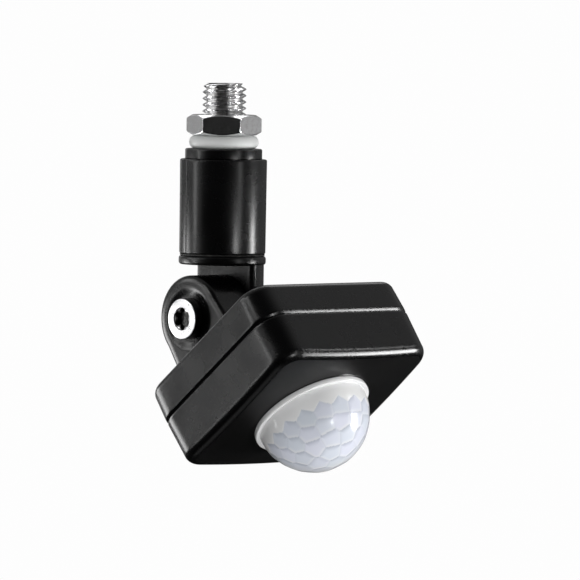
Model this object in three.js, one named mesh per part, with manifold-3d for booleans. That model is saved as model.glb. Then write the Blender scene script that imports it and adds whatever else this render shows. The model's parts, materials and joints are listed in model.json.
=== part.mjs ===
// Motion sensor head for a floodlight: a threaded stem with a lock nut, a swivel ring that pans,
// a half-lap knuckle that tilts, and a square two-shell housing with a domed lens.
// Millimetres, +Z up. The origin is on the stem axis, in the seat where the sealing washer rests.
// The tilt hinge runs along X and the lens looks towards -Y, tipped down by TILT_DEG.

import * as THREE from 'three';
import { mergeVertices } from 'three/addons/utils/BufferGeometryUtils.js';
import Module from 'manifold-3d';

const wasm = await Module();
wasm.setup();

// ---------------------------------------------------------------- driving dimensions

const FIT = 0.3; // clearance between pieces that meet inside the housing
const SLIP = 0.15; // clearance between pieces that turn on each other on the stem
const SEAT = 0.05; // clearance between pieces pressed together on the stem
const OVER = 1; // how far a cutting tool runs past the face it opens

// stem, all heights measured from the washer seat
const STUD_R = 6;
const STUD_BORE_R = 4;
const STUD_TOP = 18;
const STUD_FLANGE_R = 8.4;
const STUD_FLANGE = 2;
const STUD_CHAMFER = 1;
const NUT_FLATS = 18;
const NUT_HEIGHT = 5.6;
const NUT_TURN_DEG = 42.3;
const NUT_FACE_INSET = 0.3; // the round end face is this much smaller than the flats
const WASHER_R = 9.6;
const WASHER_HEIGHT = 3.7;
const COLLAR_R = 10.6;
const COLLAR_HEIGHT = 2.8;
const COLLAR_PLUG_R = 9.2;
const COLLAR_PLUG = 5.3;
const STEM_BEVEL = 0.3;
const SLEEVE_TOP_R = 11.98;
const SLEEVE_FOOT_R = 11.86;
const SLEEVE_FOOT = -28.8;
const SLEEVE_SHOULDER = -16;
const CLIP_SPACE_R = 9.4;
const JOURNAL_R = 7.3;
const JOURNAL_TOP = -13.6;
const CLIP_R = 9;
const CLIP_HEIGHT = 1;
const CLIP_GROOVE_R = 6.2;
const CLIP_GAP = 2.4;
const SEAL_R = 11.7;
const SEAL_HEIGHT = 0.5;
const RING_R = 12;
const RING_HEIGHT = 2.45;
const RING_EDGE_R = 0.8;
const RING_WEB = 1.2; // what the wire way leaves of the ring's foot
const CLIP_FOOT = SLEEVE_SHOULDER + 2 * SEAT;
const RING_TOP = SLEEVE_FOOT - SEAL_HEIGHT - 2 * SEAT;
const RING_FOOT = RING_TOP - RING_HEIGHT;

// knuckle
const HINGE_HEIGHT = -46.6;
const TILT_DEG = 52;
const NECK_R = 11.5;
const SPLIT_X = 0.6; // the stem lug's inner face; the housing lug stops FIT short of it
const HUB_R = 5.2;
const SCREW_R = 3;
const SCREW_BORE_R = 3.25;
const SCREW_HEAD_R = 5.65;
const SCREW_HEAD = 3.1;
const SCREW_HEAD_PROUD = 2.5;
const SCREW_HEAD_BEVEL = 0.35;
const SCREW_TIP_BEVEL = 0.6;
const SCREW_END_X = 10.3;
const SOCKET_R = 3.1;
const SOCKET_DEPTH = 1.9;
const SOCKET_SWING = 0.13; // how much the six-lobe outline swings, as a share of its radius
const HINGE_NUT_FLATS = 10;
const HINGE_NUT = 3.2;
const NUT_POCKET_X = 6.3;
const THRUST_WASHER = 0.8;
const EAR_X = -12.5;
const EAR_R = 11.9;
const EAR_FOOT = 13.3;
const DISH_R = 11;
const DISH_FLOOR_R = 5.9;
const DISH_DEPTH = 0.9;
const DUCT_R = 9.4; // ring-shaped wire duct round the hub
const DUCT_X = -8.6;
const WIRE_WAY_R = 2.9;
const WIRE_WAY_X = -4.2;
const NECK_WAY_X = 3.9;
const NECK_WAY_R = 2.7;
const NECK_OUTLET_R = 2.1;

// housing, measured from the hinge with the lens level: X across, -Y forward, Z up
const BACK_Y = -15.8;
const BOX_W = 56.5;
const BOX_H = 54.1;
const BOX_D = 24;
const BOX_Z = 13.1;
const CROWN = 1.6;
const CORNER_R = 7.2;
const FRONT_EDGE_R = 2.6;
const REAR_EDGE_R = 2.3;
const WALL = 2.2;
const SEAM_Y = BACK_Y - 10.8;
const SEAM_GAP = 0.3;
const CHANNEL = 1.4;
const TONGUE = 1.2;
const TONGUE_RISE = 3;
const LEDGE_Y = SEAM_Y + 1.6; // floor of the gasket's channel
const GASKET_END_Y = SEAM_Y - 0.7;
const BOSS_X = 20.6;
const BOSS_Z = 19.6;
const REAR_BOSS_R = 3.6;
const FRONT_BOSS_R = 3.2;
const CASE_SCREW_R = 1.5;
const CASE_SCREW_HEAD_R = 2.75;
const CASE_SCREW_END_Y = -36;
const CASE_SCREW_SINK = 3.5;
const CASE_SCREW_TOP = 0.8; // the head ends this far below the back wall
const CROSS_LENGTH = 3.2;
const CROSS_WIDTH = 1;
const CROSS_DEPTH = 1.2;

// lens
const LENS_Z = 13.6;
const DOME_R = 15.7;
const DOME_WALL = 1.3;
const LENS_RIM_R = 16.9;
const LENS_SEAT_R = 17.3;
const LENS_SEAT_Y = BACK_Y - 25.35;
const LENS_PLANE_Y = BACK_Y - 26.7;
const RIM_BEVEL = 0.25;
const SKIRT_R = 15.25;
const SKIRT_WALL = 1.05;
const SKIRT_END_Y = -37.4;
const RETAINER_R = 18.6;
const RETAINER = 1.1;
const RETAINER_BACK_Y = SKIRT_END_Y + 0.1;

// electronics
const BOARD_W = 45;
const BOARD_H = 43;
const BOARD_Z = 12.7;
const BOARD_BACK_Y = -20.6;
const BOARD_THICK = 1.6;
const BOARD_FRONT_Y = BOARD_BACK_Y - BOARD_THICK;
const POST_R = 2.6;
const BOARD_SCREW_R = 1.1;
const BOARD_SCREW_HEAD_R = 2.4;
const BOARD_SCREW_HEAD = 1.5;
const BOARD_SLOT = { half: 0.4, reach: 1.8, depth: 0.6 };
const POSTS = [[-18, 1], [18, 1], [-12, 30]];
const STAND_TOP_Y = -37.3;
const STAND = { bore: 3.2, column: 6, plate: 9.5, plateHeight: 1, lap: 0.5 };
const PIR_CAN = { flangeR: 4.6, flange: 0.6, r: 4.15, topR: 3.85, bevelAt: 3.9, height: 4.2 };
const PIR_WINDOW = { halfX: 1.6, halfZ: 1.3, depth: 0.3 };
const DAYLIGHT_CELL = { r: 1.6, height: 1.4, x: -7 };
const LAMP = { r: 1.5, straight: 1.2, bevelR: 1.06, bevelAt: 2.26, height: 2.7, x: 7 };
const RELAY = { x: [-21, -10.9], height: 12.3, z: [6, 23.8] };
const FILM_CAPACITOR = { x: [10.5, 18], height: 13.3, z: [5, 23] };
const STORAGE_CAPACITOR = { r: 5, height: 12.5, bevel: 0.5, x: 3, z: 28.6 };
const KNOB_Y = -32.6;
const KNOB_R = 4.1;
const KNOB_FLANGE_R = 5;
const KNOB_FLANGE = 1;
const KNOB_PROUD = 0.7;
const KNOB_SHAFT_R = 1.5;
const KNOB_SHAFT_END = -5;
const KNOB_PITCH = 13;
const KNOB_BEVEL = 0.4;
const KNOB_SLOT = { half: 0.5, reach: 2.8, depth: 1 };
const KNOB_NOTCH = { half: 0.3, start: 3.2, depth: 0.6 };
const TRIMMER_W = 6.8;
const TRIMMER_LOW = -8.6;
const TRIMMER_RISE = 4.8;

const HALF_W = BOX_W / 2;
const HALF_H = BOX_H / 2;
const FLOOR_Z = BOX_Z - HALF_H;
const CORNERS = [[-1, -1], [1, -1], [1, 1], [-1, 1]];

// ---------------------------------------------------------------- materials

const paint = (color, roughness, metalness = 0) => ({ color, roughness, metalness });
const BLACK_GLOSS = paint(0x0a0a0b, 0.22);
const BLACK_RUBBER = paint(0x141414, 0.8);
const CHROME = paint(0xd6d8da, 0.12, 1);
const STEEL = paint(0xa9adb0, 0.35, 1);
const SILICONE = paint(0xf1f2f0, 0.45);
const LENS_WHITE = paint(0xeceff2, 0.25);
const BOARD_GREEN = paint(0x1d5a34, 0.5);
const WHITE_PLASTIC = paint(0xe8e8e4, 0.5);
const BLUE_PLASTIC = paint(0x2c5fa8, 0.45);
const YELLOW_PLASTIC = paint(0xd9b13a, 0.5);
const GREY_PLASTIC = paint(0x8b8f92, 0.5);
const RED_PLASTIC = paint(0xb3221c, 0.3);

// ---------------------------------------------------------------- shape helpers

// Turns a geometry's faces outward when its signed volume is negative.
function facingOut(geometry) {
  const bare = new THREE.BufferGeometry();
  bare.setAttribute('position', geometry.attributes.position);
  bare.setIndex(geometry.index);
  const merged = mergeVertices(bare, 1e-4);
  const p = merged.attributes.position;
  const [a, b, c] = [new THREE.Vector3(), new THREE.Vector3(), new THREE.Vector3()];
  const faces = [];
  let volume = 0;
  for (let i = 0; i < merged.index.count; i += 3) {
    const [u, v, w] = [0, 1, 2].map((k) => merged.index.getX(i + k));
    if (u === v || v === w || w === u) continue;
    a.fromBufferAttribute(p, u);
    b.fromBufferAttribute(p, v);
    c.fromBufferAttribute(p, w);
    volume += a.dot(b.cross(c));
    faces.push([u, v, w]);
  }
  merged.setIndex(faces.flatMap(([u, v, w]) => (volume < 0 ? [u, w, v] : [u, v, w])));
  return merged;
}

function toSolid(geometry) {
  const merged = facingOut(geometry);
  return new wasm.Manifold(new wasm.Mesh({
    numProp: 3,
    vertProperties: new Float32Array(merged.attributes.position.array),
    triVerts: new Uint32Array(merged.index.array),
  }));
}

function toGeometry(solid) {
  const mesh = solid.getMesh();
  const geometry = new THREE.BufferGeometry();
  geometry.setAttribute('position', new THREE.BufferAttribute(mesh.vertProperties, 3));
  geometry.setIndex(new THREE.BufferAttribute(mesh.triVerts, 1));
  return geometry;
}

const join = (first, ...others) => others.reduce((sum, next) => sum.add(next), first);
const cut = (first, ...others) => others.reduce((rest, next) => rest.subtract(next), first);

// A profile of [radius, height] points turned about Z; it closes on itself or on the axis.
function turned(profile, segments = 20) {
  const points = profile.map(([r, h]) => new THREE.Vector2(r, h));
  const onAxis = profile[0][0] === 0 && profile.at(-1)[0] === 0;
  if (!onAxis) points.push(points[0].clone());
  return toSolid(new THREE.LatheGeometry(points, segments).rotateX(Math.PI / 2));
}

const rod = (r, low, high, segments) =>
  turned([[0, low], [r, low], [r, high], [0, high]], segments);
const tube = (inner, outer, low, high, segments) =>
  turned([[inner, low], [outer, low], [outer, high], [inner, high]], segments);

// Stand a solid made about Z along another axis, then move it.
const alongX = (solid, y = 0, z = 0) => solid.rotate([0, 90, 0]).translate([0, y, z]);
const alongY = (solid, x = 0, z = 0) => solid.rotate([-90, 0, 0]).translate([x, 0, z]);

function block([x0, x1], [y0, y1], [z0, z1]) {
  const box = new THREE.BoxGeometry(x1 - x0, y1 - y0, z1 - z0);
  return toSolid(box.translate((x0 + x1) / 2, (y0 + y1) / 2, (z0 + z1) / 2));
}

// An outline drawn in X and Y, raised along Z.
function prism(shape, low, high, curveSegments = 8) {
  const options = { depth: high - low, bevelEnabled: false, curveSegments };
  const geometry = new THREE.ExtrudeGeometry(shape, options);
  return toSolid(geometry.translate(0, 0, low));
}

function polygon(points) {
  return new THREE.Shape(points.map(([x, y]) => new THREE.Vector2(x, y)));
}

function hexagon(flats, turnDeg = 0) {
  const corner = flats / Math.sqrt(3);
  const points = [];
  for (let k = 0; k < 6; k += 1) {
    const angle = THREE.MathUtils.degToRad(turnDeg + 30 + 60 * k);
    points.push([corner * Math.cos(angle), corner * Math.sin(angle)]);
  }
  return polygon(points);
}

// Six-lobe socket outline: the radius swings between the lobes and the ridges.
function sixLobe(radius) {
  const points = [];
  const steps = 24;
  for (let k = 0; k < steps; k += 1) {
    const angle = (2 * Math.PI * k) / steps;
    const r = radius * (1 - SOCKET_SWING + SOCKET_SWING * Math.cos(6 * angle));
    points.push([r * Math.cos(angle), r * Math.sin(angle)]);
  }
  return polygon(points);
}

// ---------------------------------------------------------------- housing outline

// Bulge of the front face: full at the centre, half at the middle of a side, none at a corner.
function crownAt(x, z) {
  const across = x / HALF_W;
  const up = (z - BOX_Z) / HALF_H;
  return CROWN * (1 - (across * across + up * up) / 2);
}

// One loop round the housing at a given inset from its side walls.
function housingLoop(inset) {
  const smallest = 0.6;
  const radius = Math.max(CORNER_R - inset, smallest);
  const [w, h] = [HALF_W - inset, HALF_H - inset];
  const [cornerSteps, sideSteps] = [4, 3];
  const loop = [];
  for (let side = 0; side < 4; side += 1) {
    const [sx, sz] = [[1, 1], [-1, 1], [-1, -1], [1, -1]][side];
    const corner = [];
    for (let k = 0; k <= cornerSteps; k += 1) {
      const angle = (Math.PI / 2) * (side + k / cornerSteps);
      corner.push([
        sx * (w - radius) + radius * Math.cos(angle),
        sz * (h - radius) + radius * Math.sin(angle),
      ]);
    }
    if (loop.length) loop.push(...between(loop.at(-1), corner[0], sideSteps));
    loop.push(...corner);
  }
  loop.push(...between(loop.at(-1), loop[0], sideSteps));
  return loop;
}

function between([x0, z0], [x1, z1], steps) {
  const points = [];
  for (let k = 1; k < steps; k += 1) {
    points.push([x0 + ((x1 - x0) * k) / steps, z0 + ((z1 - z0) * k) / steps]);
  }
  return points;
}

// A housing-shaped solid from levels of { inset, y, crown, scale }, closed by a flat fan at each end.
function housingSolid(levels) {
  const position = [];
  const index = [];
  const addLevel = ({ inset, y, crown = 0, scale = 1 }) => {
    for (const [x, z] of housingLoop(inset)) {
      const [px, pz] = [x * scale, BOX_Z + z * scale];
      position.push(px, y - crown * crownAt(px, pz), pz);
    }
  };
  const count = housingLoop(0).length;
  levels.forEach(addLevel);
  for (let level = 0; level + 1 < levels.length; level += 1) {
    for (let k = 0; k < count; k += 1) {
      const next = (k + 1) % count;
      const [a, b] = [level * count + k, level * count + next];
      index.push(a, b, b + count, a, b + count, a + count);
    }
  }
  for (const end of [0, levels.length - 1]) {
    const { y, crown = 0 } = levels[end];
    const centre = position.length / 3;
    position.push(0, y - crown * crownAt(0, BOX_Z), BOX_Z);
    for (let k = 0; k < count; k += 1) {
      const [a, b] = [end * count + k, end * count + ((k + 1) % count)];
      index.push(centre, ...(end === 0 ? [b, a] : [a, b]));
    }
  }
  const geometry = new THREE.BufferGeometry();
  geometry.setAttribute('position', new THREE.Float32BufferAttribute(position, 3));
  geometry.setIndex(index);
  return toSolid(geometry);
}

const straightBlock = (inset, y0, y1) => housingSolid([{ inset, y: y0 }, { inset, y: y1 }]);

// The crowned face of the front: a rounded edge, then rings shrinking to the centre.
function crownedLevels(inset, faceY, edgeR, steps) {
  const levels = [];
  const facings = [0.8, 0.6]; // shares of the way out from the middle
  for (let k = 0; k <= steps; k += 1) {
    const angle = (Math.PI / 2) * (k / steps);
    levels.push({
      inset: inset + edgeR * (1 - Math.cos(angle)),
      y: faceY + edgeR * (1 - Math.sin(angle)),
      crown: 1,
    });
  }
  for (const scale of facings) levels.push({ inset: inset + edgeR, y: faceY, crown: 1, scale });
  return levels;
}

// ---------------------------------------------------------------- stem

function threadedStud() {
  const foot = -COLLAR_HEIGHT - COLLAR_PLUG - SLIP;
  return turned([
    [STUD_BORE_R, foot - STUD_FLANGE],
    [STUD_FLANGE_R, foot - STUD_FLANGE],
    [STUD_FLANGE_R, foot],
    [STUD_R, foot],
    [STUD_R, STUD_TOP - STUD_CHAMFER],
    [STUD_R - STUD_CHAMFER, STUD_TOP],
    [STUD_BORE_R, STUD_TOP],
  ], 32);
}

function lockNut() {
  const low = WASHER_HEIGHT + SEAT;
  const high = low + NUT_HEIGHT;
  const corner = NUT_FLATS / Math.sqrt(3);
  const face = NUT_FLATS / 2 - NUT_FACE_INSET;
  const bevel = (corner - face) * Math.tan(Math.PI / 6);
  const envelope = turned([
    [0, low], [face, low], [corner, low + bevel], [corner, high - bevel], [face, high], [0, high],
  ], 48);
  const bore = rod(STUD_R + SLIP, low - OVER, high + OVER, 32);
  return cut(prism(hexagon(NUT_FLATS, NUT_TURN_DEG), low, high).intersect(envelope), bore);
}

function sealingWasher() {
  const bulge = WASHER_HEIGHT / 2;
  const side = [];
  for (let k = 0; k <= 4; k += 1) {
    const angle = (Math.PI * k) / 4 - Math.PI / 2;
    side.push([WASHER_R - bulge + bulge * Math.cos(angle), bulge + bulge * Math.sin(angle)]);
  }
  return turned([[STUD_R + FIT, 0], ...side, [STUD_R + FIT, WASHER_HEIGHT]], 28);
}

function stemCollar() {
  const foot = -COLLAR_HEIGHT - COLLAR_PLUG;
  return turned([
    [STUD_R + SLIP, foot],
    [COLLAR_PLUG_R, foot],
    [COLLAR_PLUG_R, -COLLAR_HEIGHT],
    [COLLAR_R, -COLLAR_HEIGHT],
    [COLLAR_R, -STEM_BEVEL],
    [COLLAR_R - STEM_BEVEL, 0],
    [STUD_R + SLIP, 0],
  ], 32);
}

function stemSleeve() {
  const top = -COLLAR_HEIGHT - SEAT;
  return turned([
    [JOURNAL_R + FIT, SLEEVE_FOOT],
    [SLEEVE_FOOT_R - STEM_BEVEL, SLEEVE_FOOT],
    [SLEEVE_FOOT_R, SLEEVE_FOOT + STEM_BEVEL],
    [SLEEVE_TOP_R, top - STEM_BEVEL],
    [SLEEVE_TOP_R - STEM_BEVEL, top],
    [CLIP_SPACE_R, top],
    [CLIP_SPACE_R, SLEEVE_SHOULDER],
    [JOURNAL_R + FIT, SLEEVE_SHOULDER],
  ], 32);
}

// ---------------------------------------------------------------- swivel and stem lug

function swivelSeal() {
  const top = SLEEVE_FOOT - SEAT;
  return tube(JOURNAL_R + SLIP, SEAL_R, top - SEAL_HEIGHT, top, 32);
}

function swivelClip() {
  const top = CLIP_FOOT + CLIP_HEIGHT;
  const gap = block(
    [-CLIP_GAP / 2, CLIP_GAP / 2],
    [-CLIP_R - OVER, -CLIP_GROOVE_R + 2 * OVER],
    [CLIP_FOOT - OVER, top + OVER],
  );
  return cut(tube(CLIP_GROOVE_R + SLIP, CLIP_R, CLIP_FOOT, top, 24), gap);
}

function swivelRing() {
  const grooveFoot = CLIP_FOOT - SLIP;
  const grooveTop = CLIP_FOOT + CLIP_HEIGHT + SLIP;
  const rounded = (from, to, y) => [0, 1, 2].map((k) => {
    const angle = from + ((to - from) * k) / 2;
    return [RING_R - RING_EDGE_R + RING_EDGE_R * Math.cos(angle), y + RING_EDGE_R * Math.sin(angle)];
  });
  return turned([
    [0, RING_FOOT],
    ...rounded(-Math.PI / 2, 0, RING_FOOT + RING_EDGE_R),
    ...rounded(0, Math.PI / 2, RING_TOP - RING_EDGE_R),
    [JOURNAL_R, RING_TOP],
    [JOURNAL_R, grooveFoot],
    [CLIP_GROOVE_R, grooveFoot],
    [CLIP_GROOVE_R, grooveTop],
    [JOURNAL_R, grooveTop],
    [JOURNAL_R, JOURNAL_TOP],
    [0, JOURNAL_TOP],
  ], 32);
}

// Half of an upright cylinder, rounded off about the hinge axis.
function stemLug() {
  const top = RING_TOP - RING_HEIGHT / 2;
  const half = Math.sqrt(NECK_R ** 2 - SPLIT_X ** 2);
  const start = Math.atan2(half, SPLIT_X);
  const neck = new THREE.Shape();
  neck.moveTo(SPLIT_X, half);
  neck.lineTo(SPLIT_X, -half);
  neck.absarc(0, 0, NECK_R, -start, start, false);
  const side = new THREE.Shape();
  side.moveTo(-NECK_R, top - HINGE_HEIGHT);
  side.lineTo(-NECK_R, 0);
  side.absarc(0, 0, NECK_R, Math.PI, 2 * Math.PI, false);
  side.lineTo(NECK_R, top - HINGE_HEIGHT);
  const column = prism(neck, HINGE_HEIGHT - NECK_R - OVER, top, 14);
  const slab = prism(side, 0, NECK_R + OVER, 16).rotate([90, 0, 90]);
  return column.intersect(slab.translate([0, 0, HINGE_HEIGHT]));
}

function swivelKnuckle() {
  const wireHeight = HINGE_HEIGHT + (HUB_R + DUCT_R) / 2;
  const screwBore = alongX(rod(SCREW_BORE_R, -OVER, NECK_R + OVER), 0, HINGE_HEIGHT);
  const socket = prism(hexagon(HINGE_NUT_FLATS + 2 * SLIP), NUT_POCKET_X, NECK_R + OVER);
  const pocket = alongX(socket, 0, HINGE_HEIGHT);
  const mainWay = rod(STUD_BORE_R, RING_FOOT + RING_WEB, JOURNAL_TOP + OVER, 32);
  const neckWay = rod(NECK_WAY_R, wireHeight, RING_FOOT + 2 * OVER).translate([NECK_WAY_X, 0, 0]);
  const outlet = alongX(rod(NECK_OUTLET_R, -OVER, NECK_WAY_X), 0, wireHeight);
  return cut(join(swivelRing(), stemLug()), screwBore, pocket, mainWay, neckWay, outlet);
}

function hingeScrew() {
  const face = EAR_X - SCREW_HEAD_PROUD;
  const under = face + SCREW_HEAD;
  const body = turned([
    [0, face],
    [SCREW_HEAD_R - SCREW_HEAD_BEVEL, face],
    [SCREW_HEAD_R, face + SCREW_HEAD_BEVEL],
    [SCREW_HEAD_R, under],
    [SCREW_R, under],
    [SCREW_R, SCREW_END_X - SCREW_TIP_BEVEL],
    [SCREW_R - SCREW_TIP_BEVEL, SCREW_END_X],
    [0, SCREW_END_X],
  ], 32);
  const socket = prism(sixLobe(SOCKET_R), face - OVER, face + SOCKET_DEPTH);
  return alongX(cut(body, socket), 0, HINGE_HEIGHT);
}

function hingeNut() {
  const start = NUT_POCKET_X + FIT;
  const body = prism(hexagon(HINGE_NUT_FLATS), start, start + HINGE_NUT);
  const bore = rod(SCREW_R + SLIP, start - OVER, start + HINGE_NUT + OVER);
  return alongX(cut(body, bore), 0, HINGE_HEIGHT);
}

function thrustWasher() {
  const end = SPLIT_X - SLIP;
  return alongX(tube(SCREW_BORE_R, HUB_R, end - THRUST_WASHER, end), 0, HINGE_HEIGHT);
}

// ---------------------------------------------------------------- rear shell

// The hollow in the ear's outer face: level at its edge, then ever steeper down to a flat floor.
function earDish() {
  const floor = EAR_X + DISH_DEPTH;
  const slope = [0, 1, 2, 3, 4].map((k) => {
    const part = k / 4;
    const r = DISH_R - (DISH_R - DISH_FLOOR_R) * part;
    return [r, EAR_X + DISH_DEPTH * part ** 1.6];
  });
  const [mouthR, mouth] = [DISH_R + OVER / 2, EAR_X - OVER];
  return turned([[0, mouth], [mouthR, mouth], ...slope, [0, floor]], 32);
}

// The housing's half of the knuckle: a round ear that widens towards the back wall.
function ear() {
  const root = -BACK_Y + WALL;
  const flare = Math.atan2(EAR_FOOT - EAR_R, -BACK_Y);
  const outline = new THREE.Shape();
  outline.moveTo(-root, EAR_FOOT);
  outline.lineTo(-EAR_R * Math.sin(flare), EAR_R * Math.cos(flare));
  outline.absarc(0, 0, EAR_R, Math.PI / 2 + flare, -Math.PI / 2 - flare, true);
  outline.lineTo(-root, -EAR_FOOT);
  const start = EAR_X;
  const end = SPLIT_X - FIT;
  const body = prism(outline, start, end, 20).rotate([90, 0, 90]);
  const bore = rod(SCREW_BORE_R, start - OVER, end + OVER);
  const duct = tube(HUB_R, DUCT_R, DUCT_X, end + OVER, 32);
  const hubFace = rod(HUB_R + 2 * SEAT, SPLIT_X - 2 * SLIP - THRUST_WASHER, end + OVER);
  return cut(body, alongX(earDish()), alongX(bore), alongX(duct), alongX(hubFace));
}

// The shell's outer block with its gasket channel, its tongue and its hollow.
function rearTray() {
  const rimY = SEAM_Y + SEAM_GAP / 2;
  const tongueEnd = SEAM_Y - TONGUE_RISE;
  const edge = [0, 1, 2, 3].map((k) => {
    const angle = (Math.PI / 2) * (k / 3);
    return {
      inset: REAR_EDGE_R * (1 - Math.sin(angle)),
      y: BACK_Y - REAR_EDGE_R * (1 - Math.cos(angle)),
    };
  });
  const outer = housingSolid([...edge, { inset: 0, y: rimY }]);
  const tongue = straightBlock(WALL + CHANNEL, LEDGE_Y, tongueEnd);
  const channel = cut(
    straightBlock(WALL, LEDGE_Y, rimY - OVER),
    straightBlock(WALL + CHANNEL, LEDGE_Y + OVER, rimY - 2 * OVER),
  );
  const cavity = join(
    straightBlock(WALL, BACK_Y - WALL, LEDGE_Y + CHANNEL + 0.1),
    straightBlock(WALL + CHANNEL + TONGUE, LEDGE_Y + CHANNEL + 0.2, tongueEnd - OVER),
  );
  return cut(join(outer, tongue), channel, cavity);
}

function rearShell() {
  const floorY = BACK_Y - WALL;
  const tongueEnd = SEAM_Y - TONGUE_RISE;
  const wayEnd = -HUB_R - 1.5;
  const wireWay = rod(WIRE_WAY_R, floorY - OVER, wayEnd);
  let shell = cut(join(rearTray(), ear()), alongY(wireWay, WIRE_WAY_X, 0));
  for (const [sx, sz] of CORNERS) {
    const [x, z] = [sx * BOSS_X, BOX_Z + sz * BOSS_Z];
    const boss = rod(REAR_BOSS_R, tongueEnd, floorY + OVER, 16);
    const bore = rod(CASE_SCREW_R + FIT, tongueEnd - OVER, BACK_Y + OVER, 12);
    const sink = rod(CASE_SCREW_HEAD_R + FIT, BACK_Y - CASE_SCREW_SINK, BACK_Y + OVER, 16);
    shell = cut(join(shell, alongY(boss, x, z)), alongY(bore, x, z), alongY(sink, x, z));
  }
  for (const [x, z] of POSTS) {
    const post = rod(POST_R, BOARD_BACK_Y + FIT, floorY + OVER, 12);
    const bore = rod(BOARD_SCREW_R + FIT, BOARD_BACK_Y - OVER, floorY + 0.2, 10);
    shell = cut(join(shell, alongY(post, x, z)), alongY(bore, x, z));
  }
  return shell;
}

// ---------------------------------------------------------------- front shell

function frontShell() {
  const rimY = SEAM_Y - SEAM_GAP / 2;
  const faceY = BACK_Y - BOX_D;
  const bossStart = SEAM_Y - TONGUE_RISE - FIT;
  const innerEdge = 1;
  const face = crownedLevels(0, faceY, FRONT_EDGE_R, 3);
  const innerFace = crownedLevels(WALL, faceY + WALL, innerEdge, 1);
  const outer = housingSolid([{ inset: 0, y: rimY }, ...face]);
  const cavity = housingSolid([{ inset: WALL, y: rimY + OVER }, ...innerFace]);
  const lensSeat = rod(LENS_SEAT_R, LENS_SEAT_Y, LENS_SEAT_Y + 1.5, 36);
  const skirtHole = rod(SKIRT_R + FIT, LENS_SEAT_Y - OVER, SKIRT_END_Y, 36);
  let shell = join(cut(outer, cavity), alongY(lensSeat, 0, LENS_Z));
  shell = cut(shell, alongY(skirtHole, 0, LENS_Z));
  for (const [sx, sz] of CORNERS) {
    const [x, z] = [sx * BOSS_X, BOX_Z + sz * BOSS_Z];
    const boss = rod(FRONT_BOSS_R, faceY + OVER, bossStart, 16);
    const bore = rod(CASE_SCREW_R + FIT, CASE_SCREW_END_Y - FIT, bossStart + OVER, 12);
    shell = cut(join(shell, alongY(boss, x, z)), alongY(bore, x, z));
  }
  for (const x of [-KNOB_PITCH, 0, KNOB_PITCH]) {
    const hole = rod(KNOB_R + FIT, FLOOR_Z - OVER, FLOOR_Z + WALL + OVER / 2);
    shell = cut(shell, hole.translate([x, KNOB_Y, 0]));
  }
  return shell;
}

function housingGasket() {
  const near = LEDGE_Y - FIT;
  const inner = straightBlock(WALL + CHANNEL - FIT, near + OVER, GASKET_END_Y - OVER);
  return cut(straightBlock(WALL + FIT, near, GASKET_END_Y), inner);
}

function housingScrew(sx, sz) {
  const headTop = BACK_Y - CASE_SCREW_TOP;
  const headFoot = BACK_Y - CASE_SCREW_SINK + FIT;
  const shank = rod(CASE_SCREW_R, CASE_SCREW_END_Y, headFoot, 16);
  const head = rod(CASE_SCREW_HEAD_R, headFoot, headTop, 20);
  const long = [-CROSS_LENGTH / 2, CROSS_LENGTH / 2];
  const wide = [-CROSS_WIDTH / 2, CROSS_WIDTH / 2];
  const deep = [headTop - CROSS_DEPTH, headTop + OVER];
  const cross = join(block(wide, long, deep), block(long, wide, deep));
  return alongY(cut(join(head, shank), cross), sx * BOSS_X, BOX_Z + sz * BOSS_Z);
}

// ---------------------------------------------------------------- lens

// A quarter circle from the dome's rim to its tip.
function domeArc(radius) {
  const steps = 6;
  const points = [];
  for (let k = 0; k < steps; k += 1) {
    const angle = (Math.PI / 2) * (k / steps);
    points.push([radius * Math.cos(angle), LENS_PLANE_Y - radius * Math.sin(angle)]);
  }
  points.push([0, LENS_PLANE_Y - radius]);
  return points;
}

// A half-dome on a thin rim, with a skirt that passes through the front shell.
function domeLens() {
  const skirtInner = SKIRT_R - SKIRT_WALL;
  const profile = [
    ...domeArc(DOME_R - DOME_WALL).reverse(),
    [skirtInner, LENS_PLANE_Y + 0.2],
    [skirtInner, SKIRT_END_Y],
    [SKIRT_R, SKIRT_END_Y],
    [SKIRT_R, LENS_SEAT_Y - FIT],
    [LENS_RIM_R, LENS_SEAT_Y - FIT],
    [LENS_RIM_R, LENS_PLANE_Y + RIM_BEVEL],
    [LENS_RIM_R - RIM_BEVEL, LENS_PLANE_Y],
    ...domeArc(DOME_R),
  ];
  return alongY(turned(profile, 32), 0, LENS_Z);
}

function lensRetainer() {
  const ring = tube(SKIRT_R + FIT, RETAINER_R, RETAINER_BACK_Y - RETAINER, RETAINER_BACK_Y, 24);
  return alongY(ring, 0, LENS_Z);
}

// ---------------------------------------------------------------- electronics

function circuitBoard() {
  const [z0, z1] = [BOARD_Z - BOARD_H / 2, BOARD_Z + BOARD_H / 2];
  let board = block([-BOARD_W / 2, BOARD_W / 2], [BOARD_FRONT_Y, BOARD_BACK_Y], [z0, z1]);
  for (const [sx, sz] of CORNERS) {
    const notch = rod(REAR_BOSS_R + 2 * FIT, BOARD_FRONT_Y - OVER, BOARD_BACK_Y + OVER);
    board = cut(board, alongY(notch, sx * BOSS_X, BOX_Z + sz * BOSS_Z));
  }
  for (const [x, z] of POSTS) {
    const hole = rod(BOARD_SCREW_R + FIT, BOARD_FRONT_Y - OVER, BOARD_BACK_Y + OVER, 12);
    board = cut(board, alongY(hole, x, z));
  }
  return board;
}

function boardScrew([x, z]) {
  const under = BOARD_FRONT_Y - FIT;
  const top = under - BOARD_SCREW_HEAD;
  const { half, reach, depth } = BOARD_SLOT;
  const head = rod(BOARD_SCREW_HEAD_R, top, under, 16);
  const slot = block([-half, half], [-reach, reach], [top - OVER / 2, top + depth]);
  const shank = rod(BOARD_SCREW_R, under - OVER, BACK_Y - WALL - 0.2, 12);
  return alongY(cut(join(head, shank), slot), x, z);
}

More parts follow.
